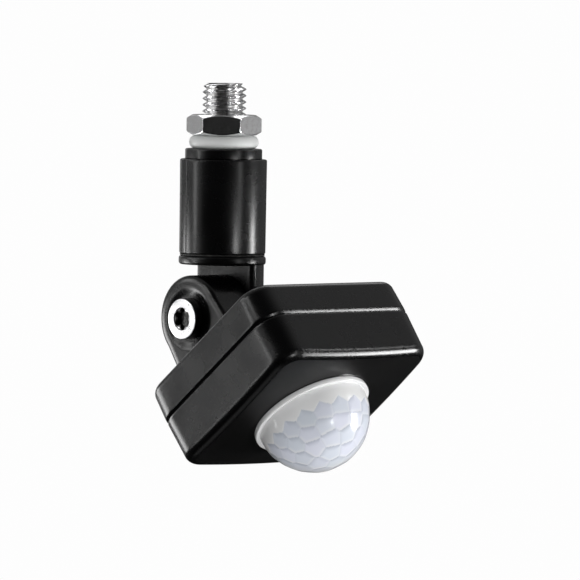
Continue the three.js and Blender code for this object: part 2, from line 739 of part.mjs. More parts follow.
function sensorStand() {
  const { bore, column, plate, plateHeight, lap } = STAND;
  const leg = tube(bore, column, STAND_TOP_Y + lap, BOARD_FRONT_Y - FIT);
  return alongY(join(leg, tube(bore, plate, STAND_TOP_Y, STAND_TOP_Y + plateHeight)), 0, LENS_Z);
}

function pirSensor() {
  const back = STAND_TOP_Y - FIT;
  const { flangeR, flange, r, topR, bevelAt, height } = PIR_CAN;
  const { halfX, halfZ, depth } = PIR_WINDOW;
  const can = turned([
    [0, back],
    [flangeR, back],
    [flangeR, back - flange],
    [r, back - flange],
    [r, back - bevelAt],
    [topR, back - height],
    [0, back - height],
  ]);
  const front = back - height;
  const window = block([-halfX, halfX], [-halfZ, halfZ], [front - OVER, front + depth]);
  return alongY(cut(can, window), 0, LENS_Z);
}

function daylightCell() {
  const back = STAND_TOP_Y - FIT;
  const { r, height, x } = DAYLIGHT_CELL;
  return alongY(rod(r, back - height, back, 16), x, LENS_Z);
}

function indicatorLamp() {
  const back = STAND_TOP_Y - FIT;
  const { r, straight, bevelR, bevelAt, height, x } = LAMP;
  const lamp = turned([
    [0, back],
    [r, back],
    [r, back - straight],
    [bevelR, back - bevelAt],
    [0, back - height],
  ], 16);
  return alongY(lamp, x, LENS_Z);
}

// A box-shaped component that stands on the board.
function boxOnBoard({ x, height, z }) {
  const foot = BOARD_FRONT_Y - FIT;
  return block(x, [foot - height, foot], z);
}

function storageCapacitor() {
  const foot = BOARD_FRONT_Y - FIT;
  const { r, height, bevel, x, z } = STORAGE_CAPACITOR;
  const can = turned([
    [0, foot],
    [r, foot],
    [r, foot - height + bevel],
    [r - bevel, foot - height],
    [0, foot - height],
  ]);
  return alongY(can, x, z);
}

// An upright potentiometer: a case with a round well that takes the knob's shaft.
function trimmer(x) {
  const half = TRIMMER_W / 2;
  const body = block(
    [x - half, x + half],
    [KNOB_Y - half, BOARD_FRONT_Y - FIT],
    [TRIMMER_LOW, TRIMMER_LOW + TRIMMER_RISE],
  );
  const well = rod(KNOB_SHAFT_R + FIT, TRIMMER_LOW - OVER, KNOB_SHAFT_END + FIT, 16);
  return cut(body, well.translate([x, KNOB_Y, 0]));
}

// A slotted knob, held behind the wall by its flange, with a notch that marks where it points.
function knob(x) {
  const face = FLOOR_Z - KNOB_PROUD;
  const flangeLow = FLOOR_Z + WALL + FIT;
  const flangeTop = flangeLow + KNOB_FLANGE;
  const body = turned([
    [0, face],
    [KNOB_R - KNOB_BEVEL, face],
    [KNOB_R, face + KNOB_BEVEL],
    [KNOB_R, flangeLow],
    [KNOB_FLANGE_R, flangeLow],
    [KNOB_FLANGE_R, flangeTop],
    [KNOB_SHAFT_R, flangeTop],
    [KNOB_SHAFT_R, KNOB_SHAFT_END],
    [0, KNOB_SHAFT_END],
  ]);
  const [wide, thin] = [KNOB_SLOT, KNOB_NOTCH];
  const below = face - OVER;
  const slot = block([-wide.half, wide.half], [-wide.reach, wide.reach], [below, face + wide.depth]);
  const notch = block([-thin.half, thin.half], [-KNOB_R - OVER, -thin.start], [below, face + thin.depth]);
  return cut(body, slot, notch).translate([x, KNOB_Y, 0]);
}

// ---------------------------------------------------------------- assembly

function piece(name, solid, { color, roughness, metalness }) {
  const material = new THREE.MeshStandardMaterial({ color, roughness, metalness });
  const mesh = new THREE.Mesh(toGeometry(solid), material);
  mesh.name = name;
  return mesh;
}

const sensor = new THREE.Group();
sensor.add(
  piece('threaded_stud', threadedStud(), CHROME),
  piece('lock_nut', lockNut(), CHROME),
  piece('sealing_washer', sealingWasher(), SILICONE),
  piece('stem_collar', stemCollar(), BLACK_GLOSS),
  piece('stem_sleeve', stemSleeve(), BLACK_GLOSS),
  piece('swivel_seal', swivelSeal(), BLACK_RUBBER),
  piece('swivel_clip', swivelClip(), STEEL),
  piece('swivel_knuckle', swivelKnuckle(), BLACK_GLOSS),
  piece('hinge_screw', hingeScrew(), CHROME),
  piece('hinge_nut', hingeNut(), STEEL),
  piece('thrust_washer', thrustWasher(), WHITE_PLASTIC),
);

const head = new THREE.Group();
head.position.z = HINGE_HEIGHT;
head.rotation.x = THREE.MathUtils.degToRad(TILT_DEG);
head.add(
  piece('rear_shell', rearShell(), BLACK_GLOSS),
  piece('front_shell', frontShell(), BLACK_GLOSS),
  piece('housing_gasket', housingGasket(), BLACK_RUBBER),
  piece('lens', domeLens(), LENS_WHITE),
  piece('lens_retainer', lensRetainer(), WHITE_PLASTIC),
  piece('circuit_board', circuitBoard(), BOARD_GREEN),
  piece('sensor_stand', sensorStand(), WHITE_PLASTIC),
  piece('pir_sensor', pirSensor(), STEEL),
  piece('daylight_cell', daylightCell(), YELLOW_PLASTIC),
  piece('indicator_lamp', indicatorLamp(), RED_PLASTIC),
  piece('relay', boxOnBoard(RELAY), BLUE_PLASTIC),
  piece('film_capacitor', boxOnBoard(FILM_CAPACITOR), YELLOW_PLASTIC),
  piece('storage_capacitor', storageCapacitor(), GREY_PLASTIC),
);
CORNERS.forEach(([sx, sz], k) => {
  head.add(piece(`housing_screw_${k + 1}`, housingScrew(sx, sz), STEEL));
});
POSTS.forEach((post, k) => {
  head.add(piece(`board_screw_${k + 1}`, boardScrew(post), STEEL));
});
['time', 'light', 'range'].forEach((name, k) => {
  const x = (k - 1) * KNOB_PITCH;
  head.add(piece(`${name}_trimmer`, trimmer(x), BLUE_PLASTIC));
  head.add(piece(`${name}_knob`, knob(x), WHITE_PLASTIC));
});
sensor.add(head);

export default sensor;
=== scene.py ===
"""Looks of the motion sensor head: smooth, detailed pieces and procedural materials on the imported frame."""
import json
import math

import bmesh
import bpy
from mathutils import Matrix, Vector


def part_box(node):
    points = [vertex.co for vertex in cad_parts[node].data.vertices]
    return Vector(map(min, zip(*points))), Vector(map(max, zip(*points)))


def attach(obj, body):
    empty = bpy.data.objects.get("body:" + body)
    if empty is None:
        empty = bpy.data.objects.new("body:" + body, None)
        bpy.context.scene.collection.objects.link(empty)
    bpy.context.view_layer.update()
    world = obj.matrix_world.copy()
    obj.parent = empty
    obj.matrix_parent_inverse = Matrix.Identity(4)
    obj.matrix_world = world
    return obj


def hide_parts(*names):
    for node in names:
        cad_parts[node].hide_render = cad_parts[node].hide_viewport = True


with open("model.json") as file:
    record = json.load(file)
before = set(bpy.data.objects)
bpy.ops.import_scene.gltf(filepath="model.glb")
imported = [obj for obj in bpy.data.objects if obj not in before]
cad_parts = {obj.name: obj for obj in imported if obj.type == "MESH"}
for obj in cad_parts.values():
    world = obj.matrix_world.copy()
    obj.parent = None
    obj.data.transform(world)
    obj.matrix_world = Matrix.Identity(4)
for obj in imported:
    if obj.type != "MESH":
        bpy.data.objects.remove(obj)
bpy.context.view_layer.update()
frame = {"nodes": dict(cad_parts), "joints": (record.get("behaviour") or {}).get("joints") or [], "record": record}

# ---- driving dimensions, millimetres

MM = 0.001
SLIP = 0.15
FIT = 0.3

STUD_R = 6
STUD_BORE_R = 4
STUD_FLANGE_R = 8.4
STUD_FLANGE = 2
THREAD_PITCH = 1.75
THREAD_DEPTH = 1.0
THREAD_FOOT = 0.4
STUD_TIP_BEVEL = 1.05
NUT_FLATS = 18
NUT_FACE_INSET = 0.3
NUT_BORE_BEVEL = 0.7
NUT_WEAR = 0.12
NUT_TURN = math.radians(42.3)
COLLAR_PLUG_R = 9.2
COLLAR_STEP = -2.8
CLIP_SPACE_R = 9.4
SLEEVE_SHOULDER = -16
SLEEVE_TAPER = 0.12
PARTING_TURN = math.radians(170)
PARTING_GROOVE = 0.13
PARTING_HALF_WIDTH = 0.5
JOURNAL_R = 7.3
JOURNAL_TOP = -13.6
RING_R = 12
RING_TOP = -29.4
RING_FOOT = -31.85
RING_EDGE_R = 0.8
RING_WEB = 1.2

NECK_R = 11.5
NECK_EDGE_R = 1.3
SPLIT_X = 0.6
LUG_EDGE_R = 0.5
LUG_MIDDLE_X = 5
NECK_WAY_R = 2.7
NECK_WAY_X = 3.9
NECK_OUTLET_R = 2.1
HUB_R = 5.2
SCREW_R = 3
SCREW_BORE_R = 3.25
SCREW_HEAD_R = 5.65
SCREW_HEAD = 3.1
SCREW_FACE_X = -15
SCREW_END_X = 10.3
SCREW_HEAD_EDGE_R = 0.4
SCREW_TIP_BEVEL = 0.6
SOCKET_R = 3.1
SOCKET_DEPTH = 1.9
SOCKET_SWING = 0.14
NUT_POCKET_X = 6.3
NUT_POCKET_FLATS = 10.3
EAR_X = -12.5
EAR_R = 11.9
EAR_FOOT = 13.3
EAR_ROOT = 18
EAR_RIM = 2.6
EAR_RIM_DEPTH = 1.3
EAR_CHAMFER = 0.3
HUB_SINK = 0.7
DISH_R = 9.2
DISH_FLOOR_R = 5.9
DISH_DEPTH = 0.9
DUCT_R = 9.4
DUCT_X = -8.6
DUCT_OUTLET_R = 2.9
DUCT_OUTLET_X = -4.2
DUCT_OUTLET_START = HUB_R + 1.5

BACK_Y = -15.8
BOX_W = 56.5
BOX_H = 54.1
BOX_D = 24
BOX_Z = 13.1
CROWN = 1.6
CORNER_R = 7.2
FRONT_EDGE_R = 2.6
REAR_EDGE_R = 2.3
WALL = 2.2
SEAM_Y = -26.6
SEAM_GAP = 0.3
FRONT_LIP = 0.22
REAR_LIP = ((0, 1.4), (0, 1.0), (0.04, 0.8), (0.1, 0.69), (0.68, 0.12), (0.75, 0.04), (0.83, 0))
DRAFT = 0.25
WALL_HOLD = 0.35
INNER_EDGE_R = 1.0
TONGUE_INSET = 3.6
TONGUE_WALL = 1.2
TONGUE_RISE = 3
TONGUE_LEDGE = 1.6
BOSS_X = 20.6
BOSS_Z = 19.6
REAR_BOSS_R = 3.6
FRONT_BOSS_R = 3.2
CASE_SCREW_HEAD_R = 2.75
CASE_SCREW_R = 1.5
CASE_SCREW_END_Y = -36
CASE_SCREW_SINK = 0.8
CASE_SCREW_HEAD = 2.4
CASE_SCREW_DOME_R = 0.9
CASE_SCREW_TIP_R = 0.5
CASE_SCREW_TIP = 0.8
CROSS_TURN = 0.35
CROSS_DEPTH = 1.1
CROSS_HALF_WIDTH = 0.38
CROSS_REACH = (1.75, 1.5)
SINK_MOUTH_R = 4.05
SINK_MOUTH_DEPTH = 0.25
SINK_DEPTH = 3.5
POSTS = ((-18, 1), (18, 1), (-12, 30))
POST_R = 2.6
POST_BORE_R = 1.4
POST_BORE_SINK = 0.2
BOARD_BACK_Y = -20.6

LENS_Z = 13.6
LENS_PLANE_Y = -42.5
LENS_SEAT_Y = -41.15
DOME_R = 15.7
DOME_WALL = 1.3
LENS_RIM_R = 16.9
LENS_SEAT_R = 17.3
SKIRT_R = 15.25
SKIRT_WALL = 1.05
SKIRT_END_Y = -37.4
LENS_RIM_TOP_R = 0.35
LENS_RIM_FOOT_R = 0.15
LENS_RIM_PROUD = 0.1

KNOB_Y = -32.6
KNOB_R = 4.1
KNOB_FLANGE_R = 5
KNOB_PROUD = 0.7
KNOB_FLANGE = 1
KNOB_SLOT = (0.5, 2.8, 1)  # half width, half length, depth
NOTCH_HALF_WIDTH = 0.3
NOTCH_END = 3.2
NOTCH_POINT = 2.95
NOTCH_DEPTH = 0.6
KNOB_SHAFT_R = 1.5
KNOB_SHAFT_END = -5
KNOB_PITCH = 13

FLOOR_Z = BOX_Z - BOX_H / 2
CORNERS = ((-1, -1), (1, -1), (1, 1), (-1, 1))
OVER = 1  # how far a cutting tool runs past the face it opens

# ---- places from the frame

TILT_JOINT = next(j for j in frame["joints"] if j["name"] == "tilt")
HINGE = Vector(TILT_JOINT["pos_m"])
TILT = -math.radians(TILT_JOINT["range_deg"][0])
HINGE_HEIGHT = HINGE.z / MM

# Pieces of the head are drawn with the lens level and the hinge at the origin.
HEAD = Matrix.Translation(HINGE) @ Matrix.Rotation(TILT, 4, "X")
STEM = Matrix.Identity(4)
ACROSS = Matrix.Translation(HINGE) @ Matrix.Rotation(math.pi / 2, 4, "Y")
FORWARD = Matrix.Rotation(math.pi / 2, 4, "X")


def extent(node):
    """Heights of a node's lowest and highest points, and its reach along X, in millimetres."""
    low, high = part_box(node)
    return low.z / MM, high.z / MM, high.x / MM


# ---- outlines


def arc(centre, radius, start, end, steps):
    """Points on a circle from one angle to another, in radians."""
    x, y = centre
    angles = [start + (end - start) * k / steps for k in range(steps + 1)]
    return [(x + radius * math.cos(a), y + radius * math.sin(a)) for a in angles]


def rounded(corners, steps=5):
    """A closed outline from (x, y, radius) corners, each turned into an arc where its radius isn't 0."""
    points = []
    for k, (x, y, radius) in enumerate(corners):
        here = Vector((x, y))
        if not radius:
            points.append((x, y))
            continue
        to_last = (Vector(corners[k - 1][:2]) - here).normalized()
        to_next = (Vector(corners[(k + 1) % len(corners)][:2]) - here).normalized()
        half = to_last.angle(to_next) / 2
        centre = here + (to_last + to_next).normalized() * radius / math.sin(half)
        first = here + to_last * radius / math.tan(half) - centre
        last = here + to_next * radius / math.tan(half) - centre
        start = math.atan2(first.y, first.x)
        sweep = (math.atan2(last.y, last.x) - start + math.pi) % math.tau - math.pi
        points += arc(centre, radius, start, start + sweep, steps)
    return points


def circle(radius, count, turn=0.0):
    """Evenly spaced points round a circle."""
    angles = [turn + math.tau * k / count for k in range(count)]
    return [(radius * math.cos(a), radius * math.sin(a)) for a in angles]


def level_ring(radius, height, count):
    """A circle of points at one height."""
    return [(x, y, height) for x, y in circle(radius, count)]


def quarter(steps):
    """Angles over a quarter turn."""
    return [math.pi / 2 * k / steps for k in range(steps + 1)]


def between(first, last, steps):
    """Evenly spaced points strictly between two points."""
    return [tuple(a + (b - a) * k / steps for a, b in zip(first, last)) for k in range(1, steps)]


# ---- solids


def shade(mesh, sharp_deg=32):
    """Smooth shading, with real edges kept crisp."""
    mesh.polygons.foreach_set("use_smooth", [True] * len(mesh.polygons))
    mesh.set_sharp_from_angle(angle=math.radians(sharp_deg))


def add_object(name, data):
    made = bpy.data.objects.new(name, data)
    bpy.context.scene.collection.objects.link(made)
    return made


def loft(name, rings, place=STEM, joined=False, sharp_deg=32):
    """A closed solid through rings of equally many points. The last ring meets the first when joined."""
    count = len(rings[0])
    made = bmesh.new()
    points = [[made.verts.new(place @ (Vector(p) * MM)) for p in ring] for ring in rings]
    pairs = list(zip(points, points[1:]))
    if joined:
        pairs.append((points[-1], points[0]))
    for low, high in pairs:
        for k in range(count):
            n = (k + 1) % count
            made.faces.new((low[k], low[n], high[n], high[k]))
    if not joined:
        for end in (points[0], points[-1]):
            if (end[0].co - end[count // 2].co).length > MM * 0.001:
                made.faces.new(end)
    bmesh.ops.remove_doubles(made, verts=made.verts, dist=MM * 0.0005)
    bmesh.ops.recalc_face_normals(made, faces=made.faces)
    mesh = bpy.data.meshes.new(name)
    made.to_mesh(mesh)
    made.free()
    shade(mesh, sharp_deg)
    return add_object(name, mesh)


def lathe(name, outline, place=STEM, count=128):
    """A (radius, height) outline turned about Z. It closes on the axis or on itself."""
    rings = [level_ring(r, h, count) for r, h in outline]
    on_axis = outline[0][0] == 0 and outline[-1][0] == 0
    return loft(name, rings, place, joined=not on_axis)


def rod(radius, low, high, place=STEM, count=64):
    return lathe("tool", [(0, low), (radius, low), (radius, high), (0, high)], place, count)


def prism(outline, low, high, place=STEM):
    return loft("tool", [[(x, y, h) for x, y in outline] for h in (low, high)], place)


def combine(piece, tools, operation):
    """Cuts or joins the tools into the piece, and removes them."""
    for tool in tools:
        change = piece.modifiers.new("combine", "BOOLEAN")
        change.operation = operation
        change.object = tool
        change.solver = "MANIFOLD"
    view = bpy.context.evaluated_depsgraph_get()
    mesh = bpy.data.meshes.new_from_object(piece.evaluated_get(view))
    piece.modifiers.clear()
    piece.data = mesh
    mesh.name = piece.name
    for tool in tools:
        bpy.data.objects.remove(tool)
    shade(mesh)
    return piece


def cut(piece, *tools):
    return combine(piece, tools, "DIFFERENCE")


def join(piece, *tools):
    return combine(piece, tools, "UNION")


def at_head(x, z):
    """Place of a solid drawn about Z that points forward out of the housing at (x, z)."""
    return HEAD @ Matrix.Translation(Vector((x, 0, z)) * MM) @ FORWARD


def finish_piece(piece, body, slot, *nodes):
    """Gives a piece its body and its slot's material, and hides the CAD nodes that it stands for."""
    piece.data.materials.clear()
    piece.data.materials.append(MATERIALS[slot])
    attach(piece, body)
    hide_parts(*nodes)


# ---- materials


RANGE_SOCKETS = ("From Min", "From Max", "To Min", "To Max")


class Nodes:
    """Short ways to build one node material."""

    def __init__(self, name):
        self.material = bpy.data.materials.new(name)
        self.material.use_nodes = True
        self.tree = self.material.node_tree
        self.shader = self.tree.nodes["Principled BSDF"]
        self.where = self.add("ShaderNodeTexCoord").outputs["Object"]

    def add(self, kind, **values):
        node = self.tree.nodes.new(kind)
        for key, value in values.items():
            setattr(node, key, value)
        return node

    def link(self, source, target):
        self.tree.links.new(source, target)

    def set(self, **values):
        for key, value in values.items():
            self.shader.inputs[key.replace("_", " ")].default_value = value

    def noise(self, size_mm, detail=3.0, stretch=(1, 1, 1)):
        """A noise whose features are about size_mm across."""
        place = self.add("ShaderNodeMapping")
        place.inputs["Scale"].default_value = stretch
        self.link(self.where, place.inputs["Vector"])
        made = self.add("ShaderNodeTexNoise")
        made.inputs["Scale"].default_value = 1 / (size_mm * MM)
        made.inputs["Detail"].default_value = detail
        self.link(place.outputs["Vector"], made.inputs["Vector"])
        return made.outputs["Fac"]

    def scale_to(self, source, low, high, from_low=0.3, from_high=0.7):
        """Maps a factor to a range."""
        made = self.add("ShaderNodeMapRange")
        for key, value in zip(RANGE_SOCKETS, (from_low, from_high, low, high)):
            made.inputs[key].default_value = value
        self.link(source, made.inputs["Value"])
        return made.outputs["Result"]

    def mix(self, factor, first, second):
        """Mixes two colours, each a plain one or a socket's."""
        made = self.add("ShaderNodeMix", data_type="RGBA")
        self.link(factor, made.inputs["Factor"])
        for socket, colour in zip((made.inputs[6], made.inputs[7]), (first, second)):
            if isinstance(colour, tuple):
                socket.default_value = (*colour, 1)
            else:
                self.link(colour, socket)
        return made.outputs[2]

    def math(self, operation, first, second):
        made = self.add("ShaderNodeMath", operation=operation)
        for socket, value in zip(made.inputs, (first, second)):
            if isinstance(value, (int, float)):
                socket.default_value = value
            else:
                self.link(value, socket)
        return made.outputs["Value"]

    def edges(self, low=0.52, high=0.62):
        """High on convex edges, where wear shows."""
        return self.scale_to(self.add("ShaderNodeNewGeometry").outputs["Pointiness"], 0, 1, low, high)

    def bump(self, *layers):
        """Bump from (factor, depth in millimetres) layers."""
        normal = None
        for factor, depth in layers:
            made = self.add("ShaderNodeBump")
            made.inputs["Distance"].default_value = depth * MM
            made.inputs["Strength"].default_value = 1.0
            self.link(factor, made.inputs["Height"])
            if normal:
                self.link(normal, made.inputs["Normal"])
            normal = made.outputs["Normal"]
        self.link(normal, self.shader.inputs["Normal"])

    def colour(self, source):
        self.link(source, self.shader.inputs["Base Color"])

    def roughness(self, source):
        self.link(source, self.shader.inputs["Roughness"])

    def mottled(self, size_mm, low, high):
        """Roughness that wanders between two values."""
        self.roughness(self.scale_to(self.noise(size_mm, 4), low, high))


def moulded_black(name, rough):
    """Black moulded ABS: faint flow marks, a fine orange peel, rubbed edges and hairline scratches."""
    n = Nodes(name)
    flow = n.noise(14, 4)
    worn = n.math("MULTIPLY", n.edges(), n.scale_to(n.noise(2.5, 4), 0, 1, 0.45, 0.7))
    body = n.mix(flow, (0.0008, 0.0008, 0.0009), (0.0016, 0.0016, 0.0018))
    n.colour(n.mix(worn, body, (0.005, 0.005, 0.0054)))
    hairline = n.scale_to(n.noise(0.5, 2, (0.05, 1, 1)), 0, 0.5, 0.66, 0.76)
    smear = n.scale_to(n.noise(9, 5), rough - 0.03, rough + 0.03)
    n.roughness(n.math("ADD", smear, n.math("MULTIPLY", n.math("MAXIMUM", worn, hairline), 0.05)))
    n.bump((n.noise(2.2, 2), 0.0014), (n.noise(0.3, 1), 0.0002))
    n.set(IOR=1.5)
    return n.material


def plated():
    """Bright nickel plate with turning marks, darker and rougher in the hollows."""
    n = Nodes("nickel_plate")
    # Darker and rougher where the surface is hollow.
    hollow_darkening = n.scale_to(n.add("ShaderNodeNewGeometry").outputs["Pointiness"], 1, 0, 0.42, 0.5)
    stain = n.scale_to(n.noise(1.4, 5), 0, 1, 0.5, 0.8)
    clean = n.mix(stain, (0.92, 0.92, 0.93), (0.8, 0.8, 0.79))
    n.colour(n.mix(hollow_darkening, clean, (0.2, 0.19, 0.18)))
    n.roughness(n.math("ADD", n.scale_to(n.noise(0.8, 4), 0.14, 0.26), n.math("MULTIPLY", hollow_darkening, 0.3)))
    n.bump((n.noise(0.12, 2, (1, 1, 8)), 0.0006), (n.noise(2.2, 3), 0.006))
    n.set(Metallic=1.0)
    return n.material


def bright_steel():
    """Smooth zinc-bright steel with light tool marks."""
    n = Nodes("bright_steel")
    rub = n.scale_to(n.noise(1.2, 5), 0, 1, 0.5, 0.8)
    n.colour(n.mix(rub, (0.86, 0.86, 0.87), (0.74, 0.74, 0.75)))
    n.mottled(0.9, 0.26, 0.38)
    n.bump((n.noise(0.2, 2), 0.0002), (n.noise(2, 2), 0.002))
    n.set(Metallic=1.0)
    return n.material


def shade_painted_steel():
    """Steel painted dark: painted shade inside the socket, and a painted dark reflection on the head's side wall.
    """
    n = Nodes("painted_shade_steel")
    n.colour(n.mix(n.noise(0.6, 4), (0.11, 0.11, 0.11), (0.05, 0.049, 0.047)))
    n.mottled(0.4, 0.25, 0.45)
    n.bump((n.noise(0.2, 3), 0.003))
    n.set(Metallic=1.0)
    return n.material


def silicone():
    """Translucent white silicone with a fine satin grain."""
    n = Nodes("white_silicone")
    n.colour(n.mix(n.noise(3, 4), (0.66, 0.67, 0.66), (0.6, 0.615, 0.61)))
    n.mottled(0.6, 0.34, 0.48)
    n.bump((n.noise(0.25, 3), 0.004))
    n.set(Subsurface_Weight=0.5, Subsurface_Scale=0.002, Subsurface_Radius=(1, 1, 1), IOR=1.41)
    return n.material


def milky_lens():
    """Milky polyethylene: white on the smooth band, blue-grey cells, darker lines between cells, with painted
    shade on one side of each cell and painted light on its other side and over the dome's lit side.
    """
    n = Nodes("milky_lens")
    cell = n.add("ShaderNodeAttribute", attribute_name="cell").outputs["Color"]
    parts = n.add("ShaderNodeSeparateColor")
    n.link(cell, parts.inputs["Color"])
    # The cell colour carries painted light in red, painted shade with the groove lines in green, and the tint in
    # blue.
    inside, border, tint = (parts.outputs[key] for key in ("Red", "Green", "Blue"))
    band = n.mix(n.noise(4, 4), (0.8, 0.8, 0.8), (0.74, 0.745, 0.75))
    glass = n.mix(tint, (0.6, 0.64, 0.7), (0.66, 0.675, 0.76))
    # Painted light turns cells towards the white band colour.
    toned = n.mix(inside, band, glass)
    # Painted shade and the groove lines darken the cells.
    n.colour(n.mix(n.math("MULTIPLY", border, 0.75), toned, (0.3, 0.33, 0.4)))
    n.mottled(1.2, 0.13, 0.22)
    n.bump((n.noise(0.8, 3), 0.003), (n.noise(0.15, 2), 0.0008))
    n.set(Subsurface_Weight=0.35, Subsurface_Scale=0.0015, Subsurface_Radius=(1, 1, 1), IOR=1.5)
    return n.material


def plain_plastic(name, light, dark, rough=0.4, grain_mm=0.3):
    """A moulded or painted plastic with mottled colour, satin grain and paler edges."""
    n = Nodes(name)
    body = n.mix(n.noise(3.5, 4), light, dark)
    worn = n.math("MULTIPLY", n.edges(), n.scale_to(n.noise(1.2, 4), 0, 1, 0.45, 0.7))
    paler = tuple(min(1, c * 1.5 + 0.05) for c in light)
    n.colour(n.mix(n.math("MULTIPLY", worn, 0.3), body, paler))
    n.mottled(1, rough - 0.08, rough + 0.08)
    n.bump((n.noise(grain_mm, 3), 0.004))
    return n.material


def black_rubber():
    """Matt black rubber with dust and a coarse grain."""
    n = Nodes("black_rubber")
    dust = n.scale_to(n.noise(1.8, 5), 0, 1, 0.5, 0.8)
    n.colour(n.mix(dust, (0.012, 0.012, 0.012), (0.05, 0.048, 0.045)))
    n.mottled(0.5, 0.6, 0.85)
    n.bump((n.noise(0.2, 4), 0.02))
    return n.material


def board_green():
    """Solder mask with copper tracks faintly raised beneath it."""
    n = Nodes("solder_mask")
    tracks = n.add("ShaderNodeTexBrick")
    tracks.inputs["Scale"].default_value = 260
    tracks.inputs["Mortar Size"].default_value = 0.012
    n.link(n.where, tracks.inputs["Vector"])
    raised = n.scale_to(tracks.outputs["Fac"], 0, 1, 0, 1)
    mask = n.mix(n.noise(5, 4), (0.01, 0.09, 0.035), (0.014, 0.12, 0.045))
    n.colour(n.mix(raised, mask, (0.03, 0.2, 0.06)))
    n.mottled(1.5, 0.25, 0.4)
    n.bump((raised, 0.03), (n.noise(0.4, 3), 0.003))
    return n.material


MATERIALS = {
    "black_gloss": moulded_black("gloss_black_abs", 0.27),
    "plated_thread": plated(),
    "bright_steel": bright_steel(),
    "silicone": silicone(),
    "milky_lens": milky_lens(),
    "white_plastic": plain_plastic("white_plastic", (0.8, 0.8, 0.77), (0.72, 0.72, 0.68), 0.42),
    "black_rubber": black_rubber(),
    "board_green": board_green(),
    "amber_plastic": plain_plastic("amber_plastic", (0.68, 0.42, 0.06), (0.6, 0.34, 0.04), 0.35),
    "red_plastic": plain_plastic("red_plastic", (0.5, 0.02, 0.015), (0.42, 0.012, 0.01), 0.2),
    "blue_plastic": plain_plastic("blue_plastic", (0.03, 0.12, 0.38), (0.02, 0.09, 0.3), 0.4),
    "grey_plastic": plain_plastic("grey_plastic", (0.26, 0.28, 0.29), (0.2, 0.215, 0.22), 0.4),
}


# ---- stem


def thread_rings(low, high, count):
    """Rings up a threaded length. The crest climbs one pitch in each turn, and fades out at both ends."""
    per_pitch, crest, flank = 14, 0.14, 0.66
    top_fade, foot_fade, tip_drop = 1.1, 0.6, 0.9
    rings = []
    steps = round((high - low) / THREAD_PITCH * per_pitch)
    for k in range(steps + 1):
        h = low + (high - low) * k / steps
        ring = []
        for j in range(count):
            phase = (h / THREAD_PITCH - j / count) % 1
            valley = max(0.0, min(1.0, (abs(phase - 0.5) * 2 - crest) / flank))
            end = min(1.0, (high - h) / top_fade, (h - low) / foot_fade)
            r = STUD_R - THREAD_DEPTH * valley - tip_drop * (1 - end) * (h > (low + high) / 2)
            angle = math.tau * j / count
            ring.append((r * math.cos(angle), r * math.sin(angle), h))
        rings.append(ring)
    return rings


def threaded_stud():
    count = 144
    foot, top, _ = extent("threaded_stud")
    flange = foot + STUD_FLANGE

    plain = (
        (STUD_BORE_R, top), (STUD_BORE_R, foot), (STUD_FLANGE_R, foot), (STUD_FLANGE_R, flange),
        (STUD_R, flange), (STUD_R, 0),
    )
    rings = [level_ring(r, h, count) for r, h in plain]
    rings += thread_rings(THREAD_FOOT, top - 0.01, count)
    rings.append(level_ring(STUD_R - STUD_TIP_BEVEL, top, count))
    piece = loft("stud_with_thread", rings, joined=True, sharp_deg=40)
    finish_piece(piece, "stem", "plated_thread", "threaded_stud")


def lock_nut():
    """A hexagon whose corners are turned off to a cone on both faces."""
    per_side, sides = 16, 6
    count = per_side * sides
    low, high, _ = extent("lock_nut")
    face_r = NUT_FLATS / 2 - NUT_FACE_INSET
    bore_r = STUD_R + SLIP
    mouth_r = bore_r + NUT_BORE_BEVEL
    cone = math.tan(math.radians(30))

    def hexagon(edge=0.0):
        ring = []
        for k in range(count):
            turn = math.pi / sides * (2 * (k % per_side) / per_side - 1)
            r = (NUT_FLATS / 2 - edge) / math.cos(turn)
            angle = NUT_TURN + math.tau * (k // per_side) / sides + turn
            ring.append((r * math.cos(angle), r * math.sin(angle)))
        return ring

    def sloped(edge, side):
        """Where the cone meets the walls."""
        base = high if side > 0 else low
        return [(x, y, base - side * max(0, math.hypot(x, y) - face_r) * cone) for x, y in hexagon(edge)]

    def round_ring(r, h):
        angles = [math.atan2(y, x) for x, y in hexagon()]
        return [(r * math.cos(a), r * math.sin(a), h) for a in angles]

    def drop(ring, amount):
        return [(x, y, h - amount) for x, y, h in ring]

    rings = [round_ring(bore_r, low + NUT_BORE_BEVEL), round_ring(mouth_r, low), round_ring(face_r, low)]
    rings += [sloped(NUT_WEAR, -1), drop(sloped(0, -1), -NUT_WEAR)]
    rings += [drop(sloped(0, 1), NUT_WEAR), sloped(NUT_WEAR, 1)]
    rings += [round_ring(face_r, high), round_ring(mouth_r, high)]
    rings.append(round_ring(bore_r, high - NUT_BORE_BEVEL))
    piece = loft("hexagon_nut", rings, joined=True, sharp_deg=20)
    edge = piece.modifiers.new("worn edges", "BEVEL")
    edge.width = NUT_WEAR * MM
    edge.segments = 2
    edge.limit_method = "ANGLE"
    edge.angle_limit = math.radians(25)
    finish_piece(piece, "nut", "plated_thread", "lock_nut")


def sealing_washer():
    _, top, outer = extent("sealing_washer")
    bulge = top / 2
    side = arc((outer - bulge, bulge), bulge, -math.pi / 2, math.pi / 2, 20)
    bore_r, bore_edge_r = STUD_R + FIT, 0.25
    bore = rounded([
        (outer - bulge, top, 0), (bore_r, top, bore_edge_r),
        (bore_r, 0, bore_edge_r), (outer - bulge, 0, 0),
    ], 3)
    piece = lathe("silicone_washer", side + bore[1:-1])
    finish_piece(piece, "stem", "silicone", "sealing_washer")


def stem_collar():
    foot, top, outer = extent("stem_collar")
    outline = rounded([
        (STUD_R + SLIP, foot, 0.2), (COLLAR_PLUG_R, foot, 0.2), (COLLAR_PLUG_R, COLLAR_STEP, 0),
        (outer, COLLAR_STEP, 0.25), (outer, top, 0.4), (STUD_R + SLIP, top, 0.3),
    ])
    piece = lathe("collar_disc", outline)
    finish_piece(piece, "stem", "black_gloss", "stem_collar")


